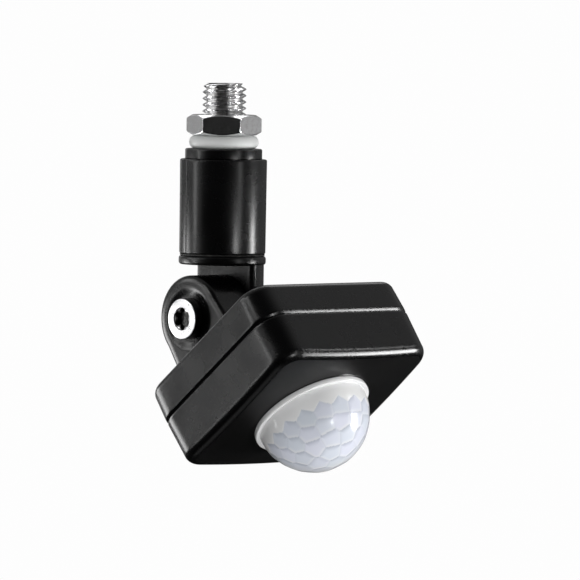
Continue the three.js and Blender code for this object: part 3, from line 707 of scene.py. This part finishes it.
def stem_sleeve():
    """The long sleeve, with the fine grooves where the two mould halves met."""
    foot, top, top_r = extent("stem_sleeve")
    foot_r = top_r - SLEEVE_TAPER
    outline = rounded([
        (JOURNAL_R + FIT, foot, 0.1), (foot_r, foot, 0.4), (top_r, top, 0.45), (CLIP_SPACE_R, top, 0.15),
        (CLIP_SPACE_R, SLEEVE_SHOULDER, 0), (JOURNAL_R + FIT, SLEEVE_SHOULDER, 0.1),
    ])
    count = 180
    lines = (PARTING_TURN, PARTING_TURN + math.pi)
    fine = [line + step * PARTING_HALF_WIDTH / 4 / top_r for line in lines for step in range(-5, 6)]
    angles = sorted({round(a % math.tau, 6) for a in fine + [math.tau * k / count for k in range(count)]})

    def ring(r, h):
        outside = r > CLIP_SPACE_R + 1
        points = []
        for a in angles:
            away = min(abs((a - line + math.pi) % math.tau - math.pi) for line in lines) * r
            cut_r = r - PARTING_GROOVE * max(0, 1 - (away / PARTING_HALF_WIDTH) ** 2) * outside
            points.append((cut_r * math.cos(a), cut_r * math.sin(a), h))
        return points

    piece = loft("sleeve_moulding", [ring(r, h) for r, h in outline], joined=True)
    finish_piece(piece, "stem", "black_gloss", "stem_sleeve")


def swivel_seal():
    foot, top, outer = extent("swivel_seal")
    inner = JOURNAL_R + SLIP
    outline = rounded([(inner, foot, 0.1), (outer, foot, 0.2), (outer, top, 0.2), (inner, top, 0.1)])
    piece = lathe("seal_ring", outline)
    finish_piece(piece, "knuckle", "black_rubber", "swivel_seal")


# ---- knuckle


def ring_and_journal():
    outline = rounded([
        (0, RING_FOOT, 0), (RING_R, RING_FOOT, RING_EDGE_R), (RING_R, RING_TOP, RING_EDGE_R),
        (JOURNAL_R, RING_TOP, 0.1), (JOURNAL_R, JOURNAL_TOP, 0.4), (0, JOURNAL_TOP, 0),
    ], 8)
    return lathe("swivel_ring_and_lug", outline, count=144)


def lug_outline(inset, steps=40):
    """Plan of the lug: a flat inner face, rounded into most of a half circle."""
    r = NECK_R - inset
    flat = SPLIT_X + inset
    edge = max(NECK_EDGE_R - inset, 0.15)
    half = math.sqrt((r - edge) ** 2 - (flat + edge) ** 2)
    join_angle = math.atan2(half, flat + edge)
    low = arc((flat + edge, -half), edge, math.pi, math.tau - join_angle, 8)
    side = arc((0, 0), r, -join_angle, join_angle, steps)
    high = [(x, -y) for x, y in reversed(low)]
    face = [(flat, -half + 2 * half * (k + 1) / 16) for k in range(15)]
    return low + side[1:-1] + high + list(reversed(face))


def stem_lug():
    """Half an upright cylinder whose foot is rounded off about the hinge."""
    edge, levels = LUG_EDGE_R, 6
    top = RING_FOOT + 0.6  # inside the ring, so that the two join

    def foot(y, inset):
        return HINGE_HEIGHT - math.sqrt(max((NECK_R - inset) ** 2 - y * y, 0))

    def shrunk(inset, s):
        return [(x * s + LUG_MIDDLE_X * (1 - s), y * s) for x, y in lug_outline(inset)]

    rings = [[(x, y, top) for x, y in shrunk(0, s)] for s in (0, 1)]
    for k in range(1, levels):
        rings.append([(x, y, top + (foot(y, 0) + edge - top) * k / levels) for x, y in lug_outline(0)])
    for turn in quarter(6):
        inset = edge * (1 - math.cos(turn))
        rings.append([(x, y, foot(y, edge) - edge * math.sin(turn)) for x, y in lug_outline(inset)])
    for s in (0.85, 0.65, 0.4, 0.15, 0):
        rings.append([(x, y, foot(y, edge) - edge) for x, y in shrunk(edge, s)])
    return loft("tool", rings)


def knuckle():
    """The pan ring and the stem's half of the tilt joint, in one moulding."""
    piece = join(ring_and_journal(), stem_lug())
    wire_height = (HUB_R + DUCT_R) / 2
    nut_outline = circle(NUT_POCKET_FLATS / math.sqrt(3), 6, math.pi / 6)
    pocket = prism(nut_outline, NUT_POCKET_X, NECK_R + OVER, ACROSS)
    bore = rod(SCREW_BORE_R, -OVER, NECK_R + OVER, ACROSS)
    main_way = rod(STUD_BORE_R, RING_FOOT + RING_WEB, JOURNAL_TOP + OVER)
    neck_place = Matrix.Translation((NECK_WAY_X * MM, 0, 0))
    neck_way = rod(NECK_WAY_R, HINGE_HEIGHT + wire_height, RING_FOOT + 2 * OVER, neck_place)
    outlet_place = Matrix.Translation((0, 0, wire_height * MM)) @ ACROSS
    outlet = rod(NECK_OUTLET_R, -OVER, NECK_WAY_X, outlet_place)
    cut(piece, pocket, bore, main_way, neck_way, outlet)
    finish_piece(piece, "knuckle", "black_gloss", "swivel_knuckle")


def hinge_screw():
    """A cheese head with a six-lobe socket whose mouth is chamfered."""
    count = 144

    def ring(radius, x, lobes=0.0):
        points = []
        for k in range(count):
            a = math.tau * k / count
            r = radius * (1 - SOCKET_SWING * lobes * (1 - math.cos(6 * a)))
            points.append((r * math.cos(a), r * math.sin(a), x))
        return points

    face, edge, tip = SCREW_FACE_X, SCREW_HEAD_EDGE_R, SCREW_TIP_BEVEL
    floor = face + SOCKET_DEPTH
    under = face + SCREW_HEAD
    wall_r, lower_edge = SOCKET_R * 0.95, 0.1
    # The socket's drilled floor, lobed walls and chamfered mouth: radius, height and lobes.
    socket = (
        (0, floor + 0.35, 0), (SOCKET_R * 0.45, floor + 0.2, 0.5), (SOCKET_R * 0.93, floor, 1),
        (wall_r, floor - 0.15, 1), (wall_r, face + 0.45, 1),
        (SOCKET_R, face + 0.3, 0.6), (SOCKET_R + 0.02, face + 0.08, 0), (SOCKET_R + 0.1, face, 0),
    )
    rings = [ring(*level) for level in socket]
    rings += [ring(r, x) for r, x in arc((SCREW_HEAD_R - edge, face + edge), edge, -math.pi / 2, 0, 6)]
    rings += [ring(SCREW_HEAD_R, under - lower_edge), ring(SCREW_HEAD_R - lower_edge, under)]
    rings.append(ring(SCREW_R, under))
    rings += [ring(SCREW_R, SCREW_END_X - tip), ring(SCREW_R - tip, SCREW_END_X), ring(0, SCREW_END_X)]
    piece = loft("hinge_bolt", rings, ACROSS, sharp_deg=38)
    finish_piece(piece, "knuckle", "bright_steel", "hinge_screw")
    # Darkened steel for the socket and the head's side wall: painted shade in the socket, a painted dark
    # reflection on the side wall.
    piece.data.materials.append(shade_painted_steel())
    painted_shade_x, painted_dark_side_r = face + 0.35, SCREW_HEAD_R - 0.12
    for polygon in piece.data.polygons:
        off_axis = math.hypot(polygon.center.y - HINGE.y, polygon.center.z - HINGE.z) / MM
        in_socket = off_axis < SOCKET_R and painted_shade_x < polygon.center.x / MM < under
        polygon.material_index = int(in_socket or off_axis > painted_dark_side_r)


# ---- housing


def crown_at(x, z):
    """Bulge of the front face: full at the centre, half at the middle of a side, none at a corner."""
    across, up = x / (BOX_W / 2), (z - BOX_Z) / (BOX_H / 2)
    return CROWN * (1 - (across * across + up * up) / 2)


def housing_loop(inset, corner_steps=10, side_steps=14):
    """Loop round the housing at an inset from its side walls, about the housing's centre."""
    radius = max(CORNER_R - inset, 0.6)
    w, h = BOX_W / 2 - inset - radius, BOX_H / 2 - inset - radius
    loop = []
    for side, (sx, sz) in enumerate(((1, 1), (-1, 1), (-1, -1), (1, -1))):
        corner = arc((sx * w, sz * h), radius, math.pi / 2 * side, math.pi / 2 * (side + 1), corner_steps)
        if loop:
            loop += between(loop[-1], corner[0], side_steps)
        loop += corner
    return loop + between(loop[-1], loop[0], side_steps)


def housing_ring(inset, y, crown=0, scale=1):
    ring = []
    for x, z in housing_loop(inset):
        px, pz = x * scale, BOX_Z + z * scale
        ring.append((px, y - crown * crown_at(px, pz), pz))
    return ring


def edge_rings(inset, y, radius, crown, steps, towards):
    """A rounded edge from the side wall onto a face at y. Towards is -1 for the front, 1 for the back."""
    rings = []
    for turn in quarter(steps):
        back_off = radius * (1 - math.sin(turn))
        rings.append(housing_ring(inset + radius * (1 - math.cos(turn)), y - towards * back_off, crown))
    return rings


def face_rings(inset, y, crown, steps=9):
    """Rings shrinking to the middle of a face."""
    return [housing_ring(inset, y, crown, 1 - k / steps) for k in range(1, steps + 1)]


def lens_ring(radius, y):
    """A ring round the lens axis whose points stand at the same turns as the housing loop's points."""
    middle = LENS_Z - BOX_Z
    turns = [math.atan2(z - middle, x) for x, z in housing_loop(0)]
    return [(radius * math.cos(a), y, LENS_Z + radius * math.sin(a)) for a in turns]


def opening_rings(inset, y, radius, steps):
    """Rings over a crowned face, from a round opening at the lens out to the face's edge."""
    hole, edge = lens_ring(radius, y), housing_ring(inset, y)
    rings = []
    for k in range(steps):
        ring = []
        for (x0, _, z0), (x1, _, z1) in zip(hole, edge):
            x, z = x0 + (x1 - x0) * k / steps, z0 + (z1 - z0) * k / steps
            ring.append((x, y - crown_at(x, z), z))
        rings.append(ring)
    return rings


def at_boss(corner):
    """Place of a solid drawn about a housing screw's axis."""
    return at_head(corner[0] * BOSS_X, BOX_Z + corner[1] * BOSS_Z)


def boss_rods(radius, low, high):
    return [rod(radius, low, high, at_boss(corner), 32) for corner in CORNERS]


def at_knob(place):
    """Place of a solid drawn about the axis of the left, middle or right knob: -1, 0 or 1."""
    return HEAD @ Matrix.Translation(Vector((place * KNOB_PITCH, KNOB_Y, 0)) * MM)


def front_shell():
    """Crowned front half of the housing, with its lens opening, screw bosses and knob holes."""
    rim = SEAM_Y - SEAM_GAP / 2
    face = BACK_Y - BOX_D
    lip = FRONT_LIP
    rings = opening_rings(FRONT_EDGE_R + DRAFT, face, LENS_SEAT_R, 10)
    rings += list(reversed(edge_rings(DRAFT, face, FRONT_EDGE_R, 1, 12, -1)))
    # Loops close to both ends of the side wall keep the wall's own shading flat.
    rings.append(housing_ring(DRAFT * 0.97, face + FRONT_EDGE_R + WALL_HOLD))
    rings += [housing_ring(0.01, rim - lip - WALL_HOLD), housing_ring(0, rim - lip)]
    rings += [housing_ring(lip * 0.3, rim - lip * 0.3), housing_ring(lip, rim), housing_ring(WALL, rim)]
    rings += edge_rings(WALL, face + WALL, INNER_EDGE_R, 1, 4, -1)
    rings += list(reversed(opening_rings(WALL + INNER_EDGE_R, face + WALL, SKIRT_R + FIT, 4)))
    rings += [lens_ring(SKIRT_R + FIT, LENS_SEAT_Y), lens_ring(LENS_SEAT_R - 0.1, LENS_SEAT_Y)]
    piece = loft("front_half", rings, HEAD, joined=True)
    boss_foot = -(SEAM_Y - TONGUE_RISE - FIT)
    join(piece, *boss_rods(FRONT_BOSS_R, boss_foot, -face - OVER))
    holes = boss_rods(CASE_SCREW_R + FIT, boss_foot - OVER, -CASE_SCREW_END_Y + FIT)
    knob_hole = (KNOB_R + FIT, FLOOR_Z - OVER, FLOOR_Z + WALL + OVER / 2)
    knob_holes = [rod(*knob_hole, at_knob(k)) for k in (-1, 0, 1)]
    cut(piece, *holes, *knob_holes)
    finish_piece(piece, "head", "black_gloss", "front_shell")
    piece.data.materials.append(moulded_black("satin_black_abs", 0.46))
    forward = (HEAD.to_3x3() @ Vector((0, -1, 0))).normalized()
    on_face = 0.97  # cosine of the turn from forward that parts the face from its rounded edge
    for polygon in piece.data.polygons:
        polygon.material_index = int(polygon.normal.dot(forward) > on_face)


def ear_outline(inset, count_arc=72, count_side=12):
    """The ear's side view: round about the hinge, widening straight to its root in the housing."""
    flare = math.atan2(EAR_FOOT - EAR_R, -BACK_Y)
    r, foot = EAR_R - inset, EAR_FOOT - inset
    turn = math.pi / 2 + flare
    round_part = arc((0, 0), r, turn, -turn, count_arc)
    low = between(round_part[-1], (-EAR_ROOT, -foot), count_side) + [(-EAR_ROOT, -foot)]
    root = between((-EAR_ROOT, -foot), (-EAR_ROOT, foot), 24) + [(-EAR_ROOT, foot)]
    high = between((-EAR_ROOT, foot), round_part[0], count_side)
    return round_part + low + root + high


def ear():
    """The housing's half of the knuckle, dished on its outer side, with a wire duct round its hub."""
    outline = ear_outline(0)
    turns = [math.atan2(v, u) for u, v in outline]
    inner_x = SPLIT_X - FIT
    hub_face = inner_x - HUB_SINK
    floor = EAR_X + DISH_DEPTH

    def ring(r, x):
        return [(x, r * math.cos(a), r * math.sin(a)) for a in turns]

    def wide(inset, x):
        return [(x, u, v) for u, v in ear_outline(inset)]

    rings = [ring(SCREW_BORE_R, floor + 0.1), ring(SCREW_BORE_R, floor)]
    for k in range(13):
        part = 1 - k / 12
        drop = DISH_DEPTH * (1 - math.cos(math.pi * part)) / 2
        rings.append(ring(DISH_R - (DISH_R - DISH_FLOOR_R) * part, EAR_X + drop))
    for t in quarter(10):
        rings.append(wide(EAR_RIM * (1 - math.sin(t)), EAR_X + EAR_RIM_DEPTH * (1 - math.cos(t))))
    rings += [wide(0, inner_x - EAR_CHAMFER), wide(EAR_CHAMFER, inner_x)]
    rings += [ring(DUCT_R, inner_x), ring(DUCT_R, DUCT_X), ring(HUB_R, DUCT_X), ring(HUB_R, hub_face)]
    rings.append(ring(SCREW_BORE_R, hub_face))
    return loft("tool", rings, HEAD, joined=True)


def rear_shell():
    """Back half of the housing with its ear, tongue, screw bosses and board posts."""
    rim = SEAM_Y + SEAM_GAP / 2
    ledge = SEAM_Y + TONGUE_LEDGE
    ledge_back = ledge + TONGUE_LEDGE
    back, floor = -BACK_Y, BACK_Y - WALL
    tongue_end, tongue_inner = SEAM_Y - TONGUE_RISE, TONGUE_INSET + TONGUE_WALL
    rings = list(reversed(face_rings(REAR_EDGE_R + DRAFT, BACK_Y, 0, 4)))
    rings += list(reversed(edge_rings(DRAFT, BACK_Y, REAR_EDGE_R, 0, 12, 1)))
    rings.append(housing_ring(DRAFT * 0.95, BACK_Y - REAR_EDGE_R - WALL_HOLD))
    rings += [housing_ring(inset, rim + back_off) for inset, back_off in REAR_LIP]
    inside = (
        (WALL, rim), (WALL, ledge), (TONGUE_INSET, ledge), (TONGUE_INSET, tongue_end),
        (tongue_inner, tongue_end), (tongue_inner, ledge_back), (WALL, ledge_back), (WALL, floor),
    )
    rings += [housing_ring(inset, y) for inset, y in inside]
    rings += face_rings(WALL, floor, 0, 4)
    piece = loft("rear_half", rings, HEAD)
    bosses = boss_rods(REAR_BOSS_R, -floor - OVER, -tongue_end)
    posts = [rod(POST_R, -floor - OVER, -BOARD_BACK_Y - FIT, at_head(x, z), 32) for x, z in POSTS]
    join(piece, ear(), *bosses, *posts)
    head_r = CASE_SCREW_HEAD_R + FIT
    sink = [
        (0, back - OVER), (SINK_MOUTH_R, back - OVER), (head_r, back + SINK_MOUTH_DEPTH),
        (head_r, back + SINK_DEPTH), (0, back + SINK_DEPTH),
    ]
    holes = []
    for corner in CORNERS:
        place = at_boss(corner)
        holes.append(rod(CASE_SCREW_R + FIT, back - OVER, -tongue_end + OVER, place, 32))
        holes.append(lathe("tool", sink, place, 48))
    post_bore = (POST_BORE_R, -floor - POST_BORE_SINK, -BOARD_BACK_Y + OVER)
    holes += [rod(*post_bore, at_head(x, z), 24) for x, z in POSTS]
    holes.append(rod(DUCT_OUTLET_R, DUCT_OUTLET_START, -floor + OVER, at_head(DUCT_OUTLET_X, 0)))
    cut(piece, *holes)
    finish_piece(piece, "head", "black_gloss", "rear_shell")


def housing_screws():
    """Pan-head screws with a cross recess, sunk in the back wall."""
    top = CASE_SCREW_SINK - BACK_Y
    foot, end, dome_r, crown = top + CASE_SCREW_HEAD, -CASE_SCREW_END_Y, CASE_SCREW_DOME_R, 0.12
    dome = arc((CASE_SCREW_HEAD_R - dome_r, top + dome_r), dome_r, -math.pi / 2, 0, 6)
    outline = [(0, top - crown)] + dome
    outline += [(CASE_SCREW_HEAD_R, foot), (CASE_SCREW_R, foot), (CASE_SCREW_R, end - CASE_SCREW_TIP)]
    outline += [(CASE_SCREW_TIP_R, end), (0, end)]
    ends = zip(CROSS_REACH, (top - OVER, top + CROSS_DEPTH))
    cross = [[(sx * w, sy * CROSS_HALF_WIDTH, h) for sx, sy in CORNERS] for w, h in ends]
    for k, corner in enumerate(CORNERS):
        place = at_boss(corner)
        piece = lathe(f"case_screw_{k + 1}", outline, place, 64)
        turns = (CROSS_TURN, CROSS_TURN + math.pi / 2)
        cut(piece, *(loft("tool", cross, place @ Matrix.Rotation(turn, 4, "Z")) for turn in turns))
        finish_piece(piece, "head", "bright_steel", f"housing_screw_{k + 1}")


def knobs():
    """Slotted knobs, each with a notch that marks where it points."""
    face = FLOOR_Z - KNOB_PROUD
    flange = FLOOR_Z + WALL + FIT
    flange_top = flange + KNOB_FLANGE
    outline = rounded([
        (0, face, 0), (KNOB_R, face, 0.5), (KNOB_R, flange, 0), (KNOB_FLANGE_R, flange, 0.15),
        (KNOB_FLANGE_R, flange_top, 0.15), (KNOB_SHAFT_R, flange_top, 0),
        (KNOB_SHAFT_R, KNOB_SHAFT_END, 0.2), (0, KNOB_SHAFT_END, 0),
    ], 4)
    half_w, half_l, slot_depth = KNOB_SLOT
    slot_outline = [(half_w * sx, half_l * sy) for sx, sy in CORNERS]
    w, start = NOTCH_HALF_WIDTH, -KNOB_R - OVER
    notch_outline = [(-w, start), (w, start), (w, -NOTCH_END), (0, -NOTCH_POINT), (-w, -NOTCH_END)]
    for k, name in enumerate(("time", "light", "range")):
        place = at_knob(k - 1)
        piece = lathe(f"{name}_dial", outline, place, 96)
        slot = prism(slot_outline, face - OVER, face + slot_depth, place)
        notch = prism(notch_outline, face - OVER, face + NOTCH_DEPTH, place)
        cut(piece, slot, notch)
        finish_piece(piece, f"{name}_control", "white_plastic", f"{name}_knob")


# ---- lens


# Rings of cells on the dome: polar angle, number of cells and turn of the first cell. Angles in degrees.
CELL_RINGS = ((0, 1, 0), (19, 6, 200), (36.5, 11, 193.5), (52, 15, 178), (66, 17, 168), (80, 17, 157.4))
BAND_POLAR = 72  # cells whose centres stand further round than this are part of the smooth band
CELL_REACH = 12  # degrees from a cell's centre over which it is flattened
CELL_FLATTENING = 0.16
GROOVE_DEPTH = 0.05
GROOVE_REACH, SHADE_REACH, LIT_EDGE_PAINT_REACH = 0.9, 6.5, 3.5  # degrees from a cell's border: groove, painted shade, painted lit edge
# The side of each cell that is painted in shade; its other side, and the part of the dome turned away from it, are
# painted lit.
SHADED_SIDE = Vector((-0.6, 0.75, -0.28)).normalized()
TINT_STEP = 0.618  # spreads neighbouring cells over the range of tints


def direction(polar, turn):
    """Unit vector at an angle from +Z, turned about it."""
    return Vector((math.sin(polar) * math.cos(turn), math.sin(polar) * math.sin(turn), math.cos(polar)))


def cell_centres():
    """Directions of the lens cells about +Z."""
    return [
        direction(math.radians(polar), math.radians(turn) - math.tau * k / count)
        for polar, count, turn in CELL_RINGS for k in range(count)
    ]


def cell_at(d, centres):
    """How deep the dome lies below its sphere in a direction, with its (cell, shadow, tint) values: the cell value
    drops under painted light, and the shadow value holds painted shade with the groove lines.
    """
    ranked = sorted(range(len(centres)), key=lambda c: -d.dot(centres[c]))[:2]
    near, next_one = (centres[c] for c in ranked)
    if near.z <= math.cos(math.radians(BAND_POLAR)):
        return 0, (0, 0, 0)
    apart = (near - next_one).normalized()
    to_border = math.degrees(math.asin(min(1, d.dot(apart))))
    border = max(0, 1 - to_border / GROOVE_REACH)
    flat = max(0, 1 - (math.degrees(d.angle(near, 0)) / CELL_REACH) ** 2)
    side = -apart.dot(SHADED_SIDE)
    # Painted shade along each cell's border on the shaded side.
    shadow = max(0, side) ** 1.5 * max(0, 1 - to_border / SHADE_REACH) ** 1.6
    # Painted light: the dome is painted paler away from the shaded side, and white along each cell's lit border.
    pale = max(0, -d.dot(SHADED_SIDE) - 0.15)
    white = min(1, 1.5 * pale + 0.8 * max(0, -side) * max(0, 1 - to_border / LIT_EDGE_PAINT_REACH))
    # Painted shade joined with the darker groove lines between cells.
    dark = max(shadow, 0.22 * border) * (1 - 0.6 * pale)
    return CELL_FLATTENING * flat + GROOVE_DEPTH * border, (1 - white, dark, ranked[0] * TINT_STEP % 1)


def lens():
    """The dome: a smooth band above its rim, and flattened cells over the rest of it."""
    count, polar_steps = 300, 100
    centres = cell_centres()
    inner = DOME_R - DOME_WALL
    plane, seat = -LENS_PLANE_Y, 0.02 - LENS_SEAT_Y
    top_r, foot_r = LENS_RIM_TOP_R, LENS_RIM_FOOT_R
    outline = [(inner * math.sin(a), plane + inner * math.cos(a)) for a in quarter(12)]
    outline += [(SKIRT_R - SKIRT_WALL, plane - 0.3), (SKIRT_R - SKIRT_WALL, -SKIRT_END_Y)]
    outline += [(SKIRT_R, -SKIRT_END_Y), (SKIRT_R, seat)]
    outline += arc((LENS_RIM_R - foot_r, seat + foot_r), foot_r, -math.pi / 2, 0, 3)
    outline += arc((LENS_RIM_R - top_r, plane + LENS_RIM_PROUD - top_r), top_r, 0, math.pi / 2, 5)
    rings = [level_ring(r, h, count) for r, h in outline]
    tints = [[(0, 0, 0)] * count for _ in outline]
    for k in range(polar_steps, -1, -1):
        ring, tint = [], []
        for j in range(count):
            d = direction(math.pi / 2 * k / polar_steps, math.tau * j / count)
            depth, values = cell_at(d, centres)
            r = DOME_R - depth
            ring.append((r * d.x, r * d.y, plane + r * d.z))
            tint.append(values)
        rings.append(ring)
        tints.append(tint)
    piece = loft("milky_dome", rings, at_head(0, LENS_Z), sharp_deg=50)
    paint_cells(piece, rings, tints)
    finish_piece(piece, "head", "milky_lens", "lens")


def paint_cells(piece, rings, tints):
    """Stores each dome point's cell values, found again by place because the loft merges points."""
    place = at_head(0, LENS_Z)
    values = {}
    for ring, tint in zip(rings, tints):
        for point, value in zip(ring, tint):
            values[tuple(round(c, 6) for c in place @ (Vector(point) * MM))] = value
    layer = piece.data.color_attributes.new("cell", "FLOAT_COLOR", "POINT")
    for vertex in piece.data.vertices:
        value = values.get(tuple(round(c, 6) for c in vertex.co), (0, 0, 0))
        layer.data[vertex.index].color = (*value, 1)


# ---- carried-over pieces


def dress_frame():
    """Gives every CAD node the material of its slot."""
    for part in frame["record"]["subparts"]:
        shown = frame["nodes"][part["node"]]
        shown.data.materials.clear()
        shown.data.materials.append(MATERIALS[part["material_slot"]])


# ---- stage, lights, camera

CAMERA_TURN = math.radians(-43.62)
CAMERA_RISE = math.radians(2.5)
CAMERA_ROLL = math.radians(0.8)
CAMERA_DISTANCE = 2.742
CAMERA_LENS = 621.2
TARGET = Vector((0, -20.05, -50.99)) * MM
TARGET_SHIFT = (-5.127, -12.872)
LIT_MIDDLE = Vector((0, -20, -50)) * MM

RIGHT = Vector((math.cos(CAMERA_TURN), math.sin(CAMERA_TURN), 0))
AHEAD = Vector((
    -math.sin(CAMERA_TURN) * math.cos(CAMERA_RISE),
    math.cos(CAMERA_TURN) * math.cos(CAMERA_RISE),
    -math.sin(CAMERA_RISE),
))


def add_camera():
    up = RIGHT.cross(AHEAD)
    turned_right = math.cos(CAMERA_ROLL) * RIGHT + math.sin(CAMERA_ROLL) * up
    turned_up = math.cos(CAMERA_ROLL) * up - math.sin(CAMERA_ROLL) * RIGHT
    data = bpy.data.cameras.new("camera")
    data.lens = CAMERA_LENS
    data.sensor_width = 36
    data.clip_end = 50
    camera = add_object("camera", data)
    shift = (turned_right * TARGET_SHIFT[0] + turned_up * TARGET_SHIFT[1]) * MM
    place = TARGET - shift - CAMERA_DISTANCE * AHEAD
    axes = Matrix((turned_right, turned_up, -AHEAD)).transposed()
    camera.matrix_world = Matrix.Translation(place) @ axes.to_4x4()
    bpy.context.scene.camera = camera


def softbox(name, side_deg, rise_deg, width, height, radiance, distance=1.0, reflected=True):
    """A rectangular light, placed by its angle to the right of the camera's side and its rise."""
    turn, rise = math.radians(side_deg), math.radians(rise_deg)
    back = Vector((-AHEAD.x, -AHEAD.y, 0)).normalized()
    level = math.cos(turn) * back + math.sin(turn) * RIGHT
    towards = math.cos(rise) * level + math.sin(rise) * Vector((0, 0, 1))
    data = bpy.data.lights.new(name, "AREA")
    data.shape = "RECTANGLE"
    data.size, data.size_y = width, height
    data.energy = radiance * math.pi * width * height
    light = add_object(name, data)
    light.location = LIT_MIDDLE + towards * distance
    light.rotation_euler = towards.to_track_quat("Z", "Y").to_euler()
    light.visible_camera = False
    light.visible_glossy = reflected


def add_lights():
    softbox("left_box", -72, 8, 0.4, 0.9, 0.3)
    softbox("left_strip", -80.5, 2, 0.07, 0.8, 7.0, 0.98)
    softbox("left_high", -98, 21, 0.2, 0.28, 4.5)
    softbox("left_upper", -66, 26, 0.14, 0.16, 8.0)
    softbox("left_low", -114, -12, 0.12, 0.13, 6.5, 0.3)
    softbox("right_strip", 46, 4, 0.16, 0.8, 1.2)
    softbox("right_core", 46, 4, 0.06, 0.8, 2.0, 0.98)
    softbox("edge_light", 90, -12, 0.06, 0.15, 42.0, 0.4)
    softbox("spot_right", 91, 25, 0.08, 0.12, 14.0)
    softbox("lamp", 36, -11, 0.12, 0.12, 26.0)
    softbox("low_lamp", 140, -52, 0.06, 0.06, 20.0)
    softbox("from_below", 0, -86, 0.5, 0.5, 0.25)
    softbox("front_fill", -10, 10, 1.2, 1.0, 1.9, 1.4, reflected=False)
    softbox("low_fill", 30, -48, 1.3, 1.3, 2.4, 1.2, reflected=False)
    softbox("under_fill", 60, -82, 1.2, 1.2, 1.6, 1.2, reflected=False)
    softbox("back_fill", 180, 48, 1.2, 0.7, 1.6, 1.4)
    softbox("back_strip", 205, 6, 0.2, 0.9, 0.8, 1.2)


def add_world():
    """A pale surround for the camera. Reflections and shadows see a studio, dark on the camera's side."""
    world = bpy.data.worlds.new("studio")
    world.use_nodes = True
    bpy.context.scene.world = world
    tree = world.node_tree
    link = tree.links.new
    dim = tree.nodes["Background"]

    def add(kind, **values):
        node = tree.nodes.new(kind)
        for key, value in values.items():
            setattr(node, key, value)
        return node

    def ramp(source, low, high, to_low, to_high):
        made = add("ShaderNodeMapRange", interpolation_type="SMOOTHSTEP")
        for key, value in zip(RANGE_SOCKETS, (low, high, to_low, to_high)):
            made.inputs[key].default_value = value
        link(source, made.inputs["Value"])
        return made.outputs["Result"]

    where = add("ShaderNodeTexCoord").outputs["Generated"]
    facing = add("ShaderNodeVectorMath", operation="DOT_PRODUCT")
    link(where, facing.inputs[0])
    facing.inputs[1].default_value = -AHEAD
    split = add("ShaderNodeSeparateXYZ")
    link(where, split.inputs["Vector"])
    away = ramp(facing.outputs["Value"], -0.1, 0.6, 1.0, 0.06)
    behind = ramp(facing.outputs["Value"], -1.0, -0.6, 0.1, 0.3)
    above = ramp(split.outputs["Z"], -0.5, 0.1, 0.06, 1.0)
    strength = away
    for factor in (behind, above):
        product = add("ShaderNodeMath", operation="MULTIPLY")
        link(strength, product.inputs[0])
        link(factor, product.inputs[1])
        strength = product.outputs["Value"]
    link(strength, dim.inputs["Strength"])
    dim.inputs["Color"].default_value = (1, 1, 1, 1)
    pale = add("ShaderNodeBackground")
    pale.inputs["Color"].default_value = (0.985, 0.985, 0.985, 1)
    pick = add("ShaderNodeMixShader")
    link(add("ShaderNodeLightPath").outputs["Is Camera Ray"], pick.inputs["Fac"])
    link(dim.outputs["Background"], pick.inputs[1])
    link(pale.outputs["Background"], pick.inputs[2])
    link(pick.outputs["Shader"], tree.nodes["World Output"].inputs["Surface"])


def add_floor():
    """A pale round floor well below the head, fading into the surround."""
    radius, height = 0.55, -0.3
    made = bmesh.new()
    bmesh.ops.create_circle(made, cap_ends=True, segments=96, radius=radius)
    mesh = bpy.data.meshes.new("floor")
    made.to_mesh(mesh)
    made.free()
    floor = add_object("floor", mesh)
    floor.location.z = height
    floor.visible_glossy = False
    floor.visible_diffuse = False
    n = Nodes("pale_floor")
    distance = n.add("ShaderNodeVectorMath", operation="LENGTH")
    n.link(n.where, distance.inputs[0])
    n.set(Base_Color=(0.9, 0.9, 0.9, 1), Roughness=0.9, Specular_IOR_Level=0.0)
    n.shader.inputs["Emission Color"].default_value = (1, 1, 1, 1)
    n.shader.inputs["Emission Strength"].default_value = 0.3
    fade = n.scale_to(distance.outputs["Value"], 1, 0, radius * 0.35, radius * 0.97)
    n.link(fade, n.shader.inputs["Alpha"])
    mesh.materials.append(n.material)


add_camera()
add_lights()
add_world()
add_floor()
bpy.context.scene.view_settings.view_transform = "Standard"

dress_frame()
threaded_stud()
lock_nut()
sealing_washer()
stem_collar()
stem_sleeve()
swivel_seal()
knuckle()
hinge_screw()
rear_shell()
front_shell()
housing_screws()
knobs()
lens()
